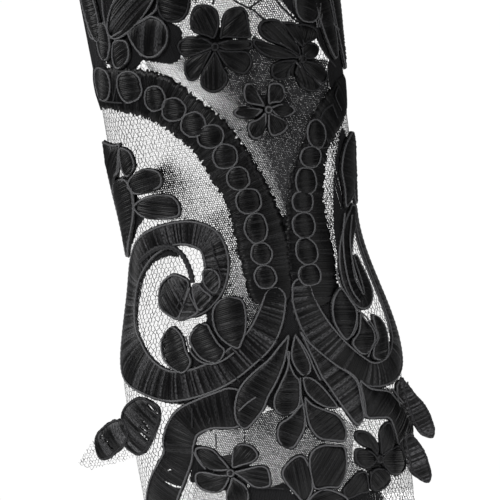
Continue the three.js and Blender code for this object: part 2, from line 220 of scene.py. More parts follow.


# The satin's fibres: noise scale along and across, roughness from fibre to fibre, and how their grain shows.
# Its light colour is partly random thread tone and partly painted sheen.
satinLook = {"dark": (0.0015, 0.0015, 0.0017), "light": (0.100, 0.100, 0.104), "fibreAlong": 5.0,
             "fibreAcross": 1.4, "detail": 3, "roughness": (0.26, 0.46), "grainFrom": (0.35, 0.65),
             "grainGain": 2, "bump": 0.5, "bumpDepth": 0.05, "specular": 0.14, "anisotropic": 0.6}
# The cord's light grey is a painted highlight; a dim cord carries a weaker one
cordLook = {"dark": (0.020, 0.020, 0.021), "light": (0.100, 0.100, 0.105), "fuzz": 2500.0, "detail": 4,
            "bump": 0.3, "bumpDepth": 0.08, "roughness": 0.5, "specular": 0.4}
dimCordLook = {**cordLook, "dark": (0.004, 0.004, 0.0045), "light": (0.030, 0.030, 0.032), "specular": 0.15}
netLook = {**cordLook, "dark": (0.006, 0.006, 0.0065), "light": (0.014, 0.014, 0.015), "fuzz": 4000.0,
           "bump": 0.2, "roughness": 0.6, "specular": 0.15}
closeNetLook = {**netLook, "dark": (0.020, 0.020, 0.021), "light": (0.034, 0.034, 0.036)}
groundLook = {**cordLook, "dark": (0.004, 0.004, 0.0045), "light": (0.012, 0.012, 0.013), "fuzz": 3000.0,
              "bump": 0.4, "specular": 0.12}
satin = satinMaterial("blackSatinThread", satinLook)
cordThread = threadMaterial("twistedGimp", cordLook)
dimCordThread = threadMaterial("dimGimp", dimCordLook)
netThread = threadMaterial("netThread", netLook)
closeNetThread = threadMaterial("closeNetThread", closeNetLook)
groundThread = threadMaterial("groundThread", groundLook)


def meshObject(name, points, faces, edges=()):
    mesh = bpy.data.meshes.new(name)
    mesh.from_pydata(points, edges, faces)
    piece = bpy.data.objects.new(name, mesh)
    bpy.context.scene.collection.objects.link(piece)
    return piece


# Middle lines of the stitched shapes, a row for each x, y and half width
def walkAlong(line):
    return np.concatenate([[0], np.cumsum(np.hypot(*np.diff(line[:, :2], axis=0).T))])


def spacedOut(line, spacing, closed=False, least=8):
    along = walkAlong(line)
    at = np.linspace(0, along[-1], max(least, round(along[-1] / spacing)), endpoint=not closed)
    return np.stack([np.interp(at, along, column) for column in line.T], 1)


def curveThrough(before, starts, ends, beyond, steps):
    line = []
    t = np.linspace(0, 1, steps, endpoint=False)[:, None]
    for p0, p1, p2, p3 in zip(before, starts, ends, beyond):
        bend = (2 * p0 - 5 * p1 + 4 * p2 - p3) * t**2 + (3 * p1 - p0 - 3 * p2 + p3) * t**3
        line.append(0.5 * (2 * p1 + (p2 - p0) * t + bend))
    return line


def smoothLine(rows, spacing):
    rows = np.array(rows, float)
    before = np.vstack([2 * rows[0] - rows[1], rows[:-2]])
    beyond = np.vstack([rows[2:], 2 * rows[-1] - rows[-2]])
    line = curveThrough(before, rows[:-1], rows[1:], beyond, 24)
    return spacedOut(np.vstack([*line, rows[-1:]]), spacing)


def bandLine(rows, spacing):
    line = smoothLine([[x, y, width / 2] for x, y, width in rows], spacing)
    ends = []
    for end, inner in ((line[0], line[1]), (line[-1], line[-2])):
        out = (end[:2] - inner[:2]) / np.linalg.norm(end[:2] - inner[:2])
        count = max(3, round(end[2] / spacing))
        d = np.arange(1, count) / count
        ends.append(np.column_stack([end[:2] + d[:, None] * end[2] * out, end[2] * np.sqrt(1 - d**2)]))
    return np.vstack([ends[0][::-1], line, ends[1]])


def sidesOf(line):
    tangent = np.gradient(line[:, :2], axis=0)
    tangent /= np.linalg.norm(tangent, axis=1, keepdims=True) + 1e-9
    return np.column_stack([-tangent[:, 1], tangent[:, 0]])


def outlineOf(line, shrink):
    reach = sidesOf(line) * np.clip(line[:, 2:] - shrink, satinStitch["leastHalf"], None)
    return np.vstack([line[:, :2] + reach, (line[:, :2] - reach)[::-1]])


def roundOff(points, spacing, closed=True):
    points = np.array(points, float)
    if closed:
        before, starts = np.roll(points, 1, 0), points
        ends, beyond, last = np.roll(points, -1, 0), np.roll(points, -2, 0), points[:1]
    else:
        before, starts = np.vstack([points[:1], points[:-2]]), points[:-1]
        ends, beyond, last = points[1:], np.vstack([points[2:], points[-1:]]), points[-1:]
    line = curveThrough(before, starts, ends, beyond, 10)
    return spacedOut(np.vstack([*line, last]), spacing, closed)


def inset(outline, distance):
    step = np.roll(outline, -1, 0) - np.roll(outline, 1, 0)
    step /= np.linalg.norm(step, axis=1, keepdims=True) + 1e-9
    x, y = outline.T
    turn = np.sign(np.sum(x * np.roll(y, -1) - y * np.roll(x, -1)))
    return outline + turn * distance * np.column_stack([-step[:, 1], step[:, 0]])


def crossings(outline, axis, level):
    u, v = outline @ axis, outline @ np.array([-axis[1], axis[0]])
    nextU, nextV = np.roll(u, -1), np.roll(v, -1)
    hit = (u > level) != (nextU > level)
    share = (level - u[hit]) / (nextU[hit] - u[hit])
    return np.sort(v[hit] + share * (nextV[hit] - v[hit]))


def rowsAcross(outline, axis, spacing, least=12, endGap=0.02):
    u = outline @ axis
    count = max(least, round((u.max() - u.min()) / spacing))
    rows = []
    for level in np.linspace(u.min() + endGap, u.max() - endGap, count):
        hits = crossings(outline, axis, level)
        low, high = (hits[0], hits[-1]) if len(hits) > 1 else (0.0, 0.0)
        middle = (low + high) / 2
        spot = [level * axis[0] - middle * axis[1], level * axis[1] + middle * axis[0]]
        rows.append([*spot, (high - low) / 2])
    return np.array(rows)


def slitWalls(hole, top, low):  # round each open cell, from the top's points to the underside's
    walls = []
    padded = np.pad(hole, 1)
    corners = ((0, 0), (1, 0), (1, 1), (0, 1))
    neighbours = ((0, -1), (1, 0), (0, 1), (-1, 0))
    for i, j in np.argwhere(~hole):
        for k, (di, dj) in enumerate(neighbours):
            if padded[i + 1 + di, j + 1 + dj]:
                (ai, aj), (bi, bj) = corners[k], corners[(k + 1) % 4]
                p, q = (i + ai, j + aj), (i + bi, j + bj)
                walls.append([int(top[q]), int(top[p]), int(low[p]), int(low[q])])
    return walls


# How a petal is domed by its width, and where its cord lies
petalStitch = {"outlineStep": 0.3, "leastDome": 0.35, "domeWidth": 6, "cordInset": 0.45, "cordOff": 0.35,
               "cordRise": 0.35}


# Gathers the stitched surfaces and the cord routes of one piece
class Patch:
    def __init__(self, place):
        self.place, self.points, self.faces, self.uv, self.tone = place, [], [], [], []
        self.routes, self.shine = [], satinStitch["shine"]
        self.slits, self.slitHalf, self.turn = [], 0, None

    def parted(self, x, y):  # the cells of the grid that a slit leaves open
        middle = [(v[:-1, :-1] + v[1:, :-1] + v[:-1, 1:] + v[1:, 1:]) / 4 for v in (x, y)]
        middle = np.stack(middle, -1)
        hole = np.zeros(middle.shape[:2], bool)
        for x0, y0, x1, y1 in self.slits:
            start, way = np.array([x0, y0]), np.array([x1 - x0, y1 - y0])
            share = np.clip((middle - start) @ way / (way @ way), 0, 1)
            hole |= np.linalg.norm(middle - start - share[..., None] * way, axis=-1) < self.slitHalf
        return hole

    def stitch(self, line, base, tooth, dome, side=None):
        look = satinStitch
        rows = len(line)
        thread = np.arange(rows) // look["rowsPerThread"]
        count = thread[-1] + 1
        reach = random.normal(0, tooth, count)[thread]
        height = 1 + random.normal(0, look["heightSpread"], count)[thread]
        # each thread's tone is random; on pieces with painted sheen it reaches higher, a painted sheen in
        # the colour
        tone = random.uniform(0, self.shine, count)[thread] ** look["shineCurve"]
        t = np.linspace(-1, 1, look["across"] * (2 if self.slits else 1) + 1)  # finer where it parts
        half = line[:, 2] + reach * np.minimum(1, line[:, 2] / look["fullToothFrom"])
        half = np.clip(half, look["leastHalf"], None)
        side = sidesOf(line) if side is None else np.array([side])
        across = half[:, None] * t
        x = line[:, :1] + side[:, :1] * across
        y = line[:, 1:2] + side[:, 1:] * across
        full = np.minimum(1, line[:, 2] / (line[:, 2].max() * look["fullFrom"]))[:, None]
        full = full ** look["fullPower"]
        crown = 1 - np.abs(t) ** look["crownPower"]
        phase = 2 * math.pi * (np.arange(rows) % look["rowsPerThread"]) / look["rowsPerThread"]
        off = base + look["edge"] + look["dome"] * dome * crown * full * height[:, None]
        ridgeShare = look["edgeRidge"] + (1 - look["edgeRidge"]) * crown
        off = off + look["ridge"] * np.cos(phase)[:, None] * ridgeShare
        along = np.broadcast_to(walkAlong(line)[:, None], x.shape)
        self.skin(x, y, off, base, along, across, tone)

    def skin(self, x, y, off, base, along, across, tone):  # the stitched top, closed by a flat underside
        rows, wide = x.shape
        under = np.arange(wide) if self.slits else np.array([0, wide - 1])
        start = sum(len(points) for points in self.points)
        top = start + np.arange(rows * wide).reshape(rows, wide)
        low = start + rows * wide + np.arange(rows * len(under)).reshape(rows, -1)
        self.points.append(self.place(x, y, off).reshape(-1, 3))
        self.points.append(self.place(x[:, under], y[:, under], base).reshape(-1, 3))
        for column in (np.arange(wide), under):
            self.uv.append(np.stack([along[:, column], across[:, column]], -1).reshape(-1, 2))
            self.tone.append(np.repeat(tone, len(column)))
        ring = np.concatenate([top, low[:, ::-1]], 1)
        a, b = ring[:-1], ring[1:]
        quads = np.stack([a, b, np.roll(b, -1, 1), np.roll(a, -1, 1)], -1)
        if self.slits:
            hole = self.parted(x, y)
            kept = np.ones(quads.shape[:2], bool)
            kept[:, :wide - 1] = ~hole
            kept[:, wide:2 * wide - 1] = ~hole[:, ::-1]
            self.faces += quads[kept].tolist() + slitWalls(hole, top, low)
        else:
            self.faces += quads.reshape(-1, 4).tolist()
        self.faces += [ring[0].tolist(), ring[-1, ::-1].tolist()]

    def petal(self, points, base, spacing, lengthways=False):
        outline = roundOff(points, petalStitch["outlineStep"])
        away = outline.mean(0) - outline[0]
        axis = away / np.linalg.norm(away)
        if lengthways:
            axis = np.array([axis[1], -axis[0]])
        if self.turn is not None:
            axis = np.array([math.cos(self.turn), math.sin(self.turn)])
        line = rowsAcross(outline, axis, spacing)
        size = min(1.0, petalStitch["leastDome"] + line[:, 2].max() / petalStitch["domeWidth"])
        self.stitch(line, base, satinStitch["toothPetal"], size, side=(-axis[1], axis[0]))
        cordOff = base + petalStitch["cordOff"] + petalStitch["cordRise"] * size
        self.route(inset(outline, petalStitch["cordInset"]), cordOff, True)

    def upright(self, outline, spacing, look):
        line = rowsAcross(outline, np.array([0.0, 1.0]), spacing)
        self.stitch(line, look["base"], look["tooth"], look["dome"], side=(-1.0, 0.0))

    def route(self, flat, off, closed, step=gimp["step"]):
        flat = np.asarray(flat, float)
        if closed:
            flat = np.vstack([flat, flat[:1]])
        spots = spacedOut(flat, step, closed, 4)
        self.routes.append((self.place(spots[:, 0], spots[:, 1], off), closed))

    def fill(self, name):
        piece = meshObject(name, (np.vstack(self.points) * mm).tolist(), self.faces)
        mesh = piece.data
        loops = np.zeros(len(mesh.loops), np.int32)
        mesh.loops.foreach_get("vertex_index", loops)
        layer = mesh.uv_layers.new(name="UVMap")
        layer.uv.foreach_set("vector", np.vstack(self.uv)[loops].astype(np.float32).ravel())
        tone = mesh.attributes.new("threadToneAndSheen", "FLOAT", "POINT")
        tone.data.foreach_set("value", np.concatenate(self.tone).astype(np.float32))
        mesh.polygons.foreach_set("use_smooth", np.ones(len(mesh.polygons), bool))
        mesh.materials.append(satin)
        return piece


# Geometry Nodes: a tube along every line of a wire mesh
def mathNode(tree, operation, first, second=None):
    node = tree.nodes.new("ShaderNodeMath")
    node.operation = operation
    for socket, value in zip(node.inputs, (first, second)):
        if isinstance(value, (int, float)):
            socket.default_value = value
        elif value is not None:
            tree.links.new(value, socket)
    return node.outputs[0]


def namedValue(tree, name, kind):
    node = tree.nodes.new("GeometryNodeInputNamedAttribute")
    node.data_type = kind
    node.inputs["Name"].default_value = name
    return node.outputs["Attribute"]


def captured(tree, geometry, value, name):
    node = tree.nodes.new("GeometryNodeCaptureAttribute")
    node.capture_items.new("FLOAT", name)
    tree.links.new(geometry, node.inputs["Geometry"])
    tree.links.new(value, node.inputs[name])
    return node.outputs["Geometry"], node.outputs[name]


def twistPlies(tree, source, surface, length, turn):
    new, link = tree.nodes.new, tree.links.new
    share = mathNode(tree, "DIVIDE", length, source.outputs["Ply Length"])
    around = mathNode(tree, "ADD", share, mathNode(tree, "MULTIPLY", turn, gimp["plies"]))
    wave = mathNode(tree, "COSINE", mathNode(tree, "MULTIPLY", around, 2 * math.pi))
    store = new("GeometryNodeStoreNamedAttribute")
    store.data_type = "FLOAT"
    store.domain = "POINT"
    store.inputs["Name"].default_value = "plyWave"
    link(surface, store.inputs["Geometry"])
    link(wave, store.inputs["Value"])
    push = new("ShaderNodeVectorMath")
    push.operation = "SCALE"
    link(new("GeometryNodeInputNormal").outputs[0], push.inputs[0])
    link(mathNode(tree, "MULTIPLY", wave, source.outputs["Twist Height"]), push.inputs["Scale"])
    move = new("GeometryNodeSetPosition")
    link(store.outputs[0], move.inputs["Geometry"])
    link(push.outputs[0], move.inputs["Offset"])
    return move.outputs[0]


def ovalProfile(tree, source, sides):
    new, link = tree.nodes.new, tree.links.new
    circle = new("GeometryNodeCurvePrimitiveCircle")
    circle.inputs["Resolution"].default_value = sides
    circle.inputs["Radius"].default_value = 0.5
    scale = new("ShaderNodeCombineXYZ")
    link(source.outputs["Strand Depth"], scale.inputs["X"])
    link(source.outputs["Strand Width"], scale.inputs["Y"])
    scale.inputs["Z"].default_value = 1
    shaped = new("GeometryNodeTransform")
    link(circle.outputs["Curve"], shaped.inputs["Geometry"])
    link(scale.outputs[0], shaped.inputs["Scale"])
    return shaped.outputs[0]


def wireTree(name, sides, material, twisted, caps=False):
    tree = bpy.data.node_groups.new(name, "GeometryNodeTree")
    sockets = tree.interface
    sockets.new_socket("Geometry", in_out="INPUT", socket_type="NodeSocketGeometry")
    for label in ("Strand Width", "Strand Depth", "Ply Length", "Twist Height"):
        sockets.new_socket(label, in_out="INPUT", socket_type="NodeSocketFloat")
    sockets.new_socket("Geometry", in_out="OUTPUT", socket_type="NodeSocketGeometry")
    new, link = tree.nodes.new, tree.links.new
    source, target = new("NodeGroupInput"), new("NodeGroupOutput")
    curve = new("GeometryNodeMeshToCurve")
    link(source.outputs["Geometry"], curve.inputs[0])
    turned = new("GeometryNodeSetCurveNormal")
    turned.mode = "FREE"
    link(curve.outputs[0], turned.inputs["Curve"])
    link(namedValue(tree, "surfaceNormal", "FLOAT_VECTOR"), turned.inputs["Normal"])
    path, profile = turned.outputs[0], ovalProfile(tree, source, sides)
    if twisted:
        length = new("GeometryNodeSplineParameter").outputs["Length"]
        turn = new("GeometryNodeSplineParameter").outputs["Factor"]
        path, length = captured(tree, path, length, "length")
        profile, turn = captured(tree, profile, turn, "turn")
    tube = new("GeometryNodeCurveToMesh")
    tube.inputs["Fill Caps"].default_value = twisted or caps
    link(path, tube.inputs["Curve"])
    link(profile, tube.inputs["Profile Curve"])
    link(namedValue(tree, "strandScale", "FLOAT"), tube.inputs["Scale"])
    surface = tube.outputs[0]
    if twisted:
        surface = twistPlies(tree, source, surface, length, turn)
    realize = new("GeometryNodeRealizeInstances")
    paint = new("GeometryNodeSetMaterial")
    paint.inputs["Material"].default_value = material
    link(surface, realize.inputs[0])
    link(realize.outputs[0], paint.inputs["Geometry"])
    link(paint.outputs[0], target.inputs["Geometry"])
    return tree


def grownFrom(wire, tree, name, inputs, smooth):
    modifier = wire.modifiers.new("grow", "NODES")
    modifier.node_group = tree
    for item in tree.interface.items_tree:
        if item.item_type == "SOCKET" and item.in_out == "INPUT" and item.name in inputs:
            modifier[item.identifier] = inputs[item.name]
    evaluated = wire.evaluated_get(bpy.context.evaluated_depsgraph_get())
    mesh = bpy.data.meshes.new_from_object(evaluated)
    old = wire.data
    bpy.data.objects.remove(wire)
    bpy.data.meshes.remove(old)
    mesh.name = name
    mesh.polygons.foreach_set("use_smooth", np.full(len(mesh.polygons), smooth))
    piece = bpy.data.objects.new(name, mesh)
    bpy.context.scene.collection.objects.link(piece)
    return piece


def wireMesh(points, edges, normals, scales):
    wire = meshObject("wire", (points * mm).tolist(), [], edges.tolist())
    normal = wire.data.attributes.new("surfaceNormal", "FLOAT_VECTOR", "POINT")
    normal.data.foreach_set("vector", normals.astype(np.float32).ravel())
    scale = wire.data.attributes.new("strandScale", "FLOAT", "POINT")
    scale.data.foreach_set("value", scales.astype(np.float32))
    return wire


cordTree = wireTree("twistedCord", 6, cordThread, True)
dimCordTree = wireTree("dimTwistedCord", 6, dimCordThread, True)
netTree = wireTree("netStrands", 3, netThread, False)
closeNetTree = wireTree("closeNetStrands", 3, closeNetThread, False)
groundTree = wireTree("groundThreads", 4, groundThread, False, caps=True)


def outwardOf(points):
    outward = points * [1, 1, 0]
    return outward / np.linalg.norm(outward, axis=1, keepdims=True)


def cordPiece(name, routes, radius=gimp["radius"], dim=False):
    points, edges, start = [], [], 0
    for spots, closed in routes:
        index = np.arange(len(spots))
        pairs = np.stack([index, np.roll(index, -1)], 1)
        points.append(spots)
        edges.append(start + (pairs if closed else pairs[:-1]))
        start += len(spots)
    points, edges = np.vstack(points), np.vstack(edges)
    wire = wireMesh(points, edges, outwardOf(points), np.ones(len(points)))
    size = 2 * radius * mm
    inputs = {"Strand Width": size, "Strand Depth": size, "Ply Length": gimp["ply"] * mm,
              "Twist Height": gimp["twist"] * radius * mm}
    return grownFrom(wire, dimCordTree if dim else cordTree, name, inputs, True)


def settle(piece, slotName, *nodes):
    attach(piece, "root")
    if nodes:
        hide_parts(*nodes)


def camel(name):
    first, *rest = name.split("_")
    return first + "".join(word.capitalize() for word in rest)


def stepFor(name):
    return pitches.get(name, satinStitch["pitch"]) / satinStitch["rowsPerThread"]


def patchFor(name, place):
    patch = Patch(place)
    patch.shine = satinStitch["sheenPaintedShine" if name in sheenPainted else "shine"]
    patch.slits, patch.slitHalf = slits.get(name, []), slitHalf.get(name, 0)
    if name in threadTurns:
        patch.turn = math.radians(threadTurns[name])
    return patch


def makePieces(name, patch, slotName):
    settle(patch.fill(camel(name)), slotName, name)
    if patch.routes:
        settle(cordPiece(camel(name) + "Cord", patch.routes, dim=name in dimCorded), "cord")


# Pieces whose threads carry a stronger painted sheen, those with a thicker thread, and those with a dim cord
# (a weaker painted highlight)
sheenPainted = ("arm_leaf_satin", "arm_leaf_tall", "lobe_inner", "lobe_outer", "volute_left", "free_leaf_upper",
          "free_leaf_lower", "leaf_long", "volute_right")
pitches = {"arm_leaf_satin": 0.9, "arm_leaf_tall": 0.6, "volute_left": 0.48, "volute_right": 0.48,
           "band_low_left": 0.55, "lobe_inner": 0.8, "lobe_outer": 0.8}
dimCorded = ("arm_flower_left", "arm_flower_right", "lobe_inner", "lobe_outer", "free_leaf_upper",
             "free_leaf_lower", "hem_flower_right", "arm_petal_round")

# Slits where the threads part and show what is behind, from end to end
slits = {
    "lobe_inner": [[-29.2, -39.9, -27, -42.6], [-31.2, -43.7, -30.1, -46], [-31.9, -45.4, -30.2, -47.2],
                   [-32.3, -46.8, -30.9, -48.8]],
    "lobe_outer": [[-41.8, -45.3, -42.3, -47], [-41.3, -47.3, -39.9, -49.9]],
    "band_low_left": [[-29.1, -60, -27.1, -61.2], [-27.1, -61.2, -24.8, -61.8],
                      [-27.7, -57.2, -26.9, -57.1]],
    "bud_low": [[-22.9, -22.1, -23.5, -23.9], [-23.7, -25.3, -23.8, -26.4],
                [-23.7, -27.5, -23.8, -29.2]],
}
slitHalf = {"bud_low": 0.16, "lobe_inner": 0.32, "lobe_outer": 0.26, "band_low_left": 0.34}
threadTurns = {"lobe_inner": 38, "lobe_outer": 18}  # degrees that the rows lean

# Petals and leaves that are plain eggs: root x, y, tip x, y, width, and how far the root is narrowed
eggPetals = {
    "arm_petal_round": [-7.5, 65, -9.5, 54.5, 8.5, 0],
    "arm_leaf_tall": [-27.5, 53.5, -12.5, 67, 9.5, 0.2],
    "arm_petal_right": [26.5, 60, 25, 50, 9, 0],
    "edge_leaf_lower": [-31.5, 48, -29.5, 58, 6, 0.1],
    "edge_leaf_upper": [-32.5, 53, -35, 70, 7, 0.2],
    "edge_leaf_scroll": [-36, 38, -34, 47, 9, 0.1],
    "side_leaf_upper": [35.5, 40.5, 28.5, 64, 7, 0.2],
    "side_leaf_outer": [44, 38, 37, 62, 8, 0.2],
    "right_strip_outer": [41, 3, 45, 21.5, 6.5, 0],
    "leaf_hem_outer": [37, -43, 43, -60, 8, 0.2],
}

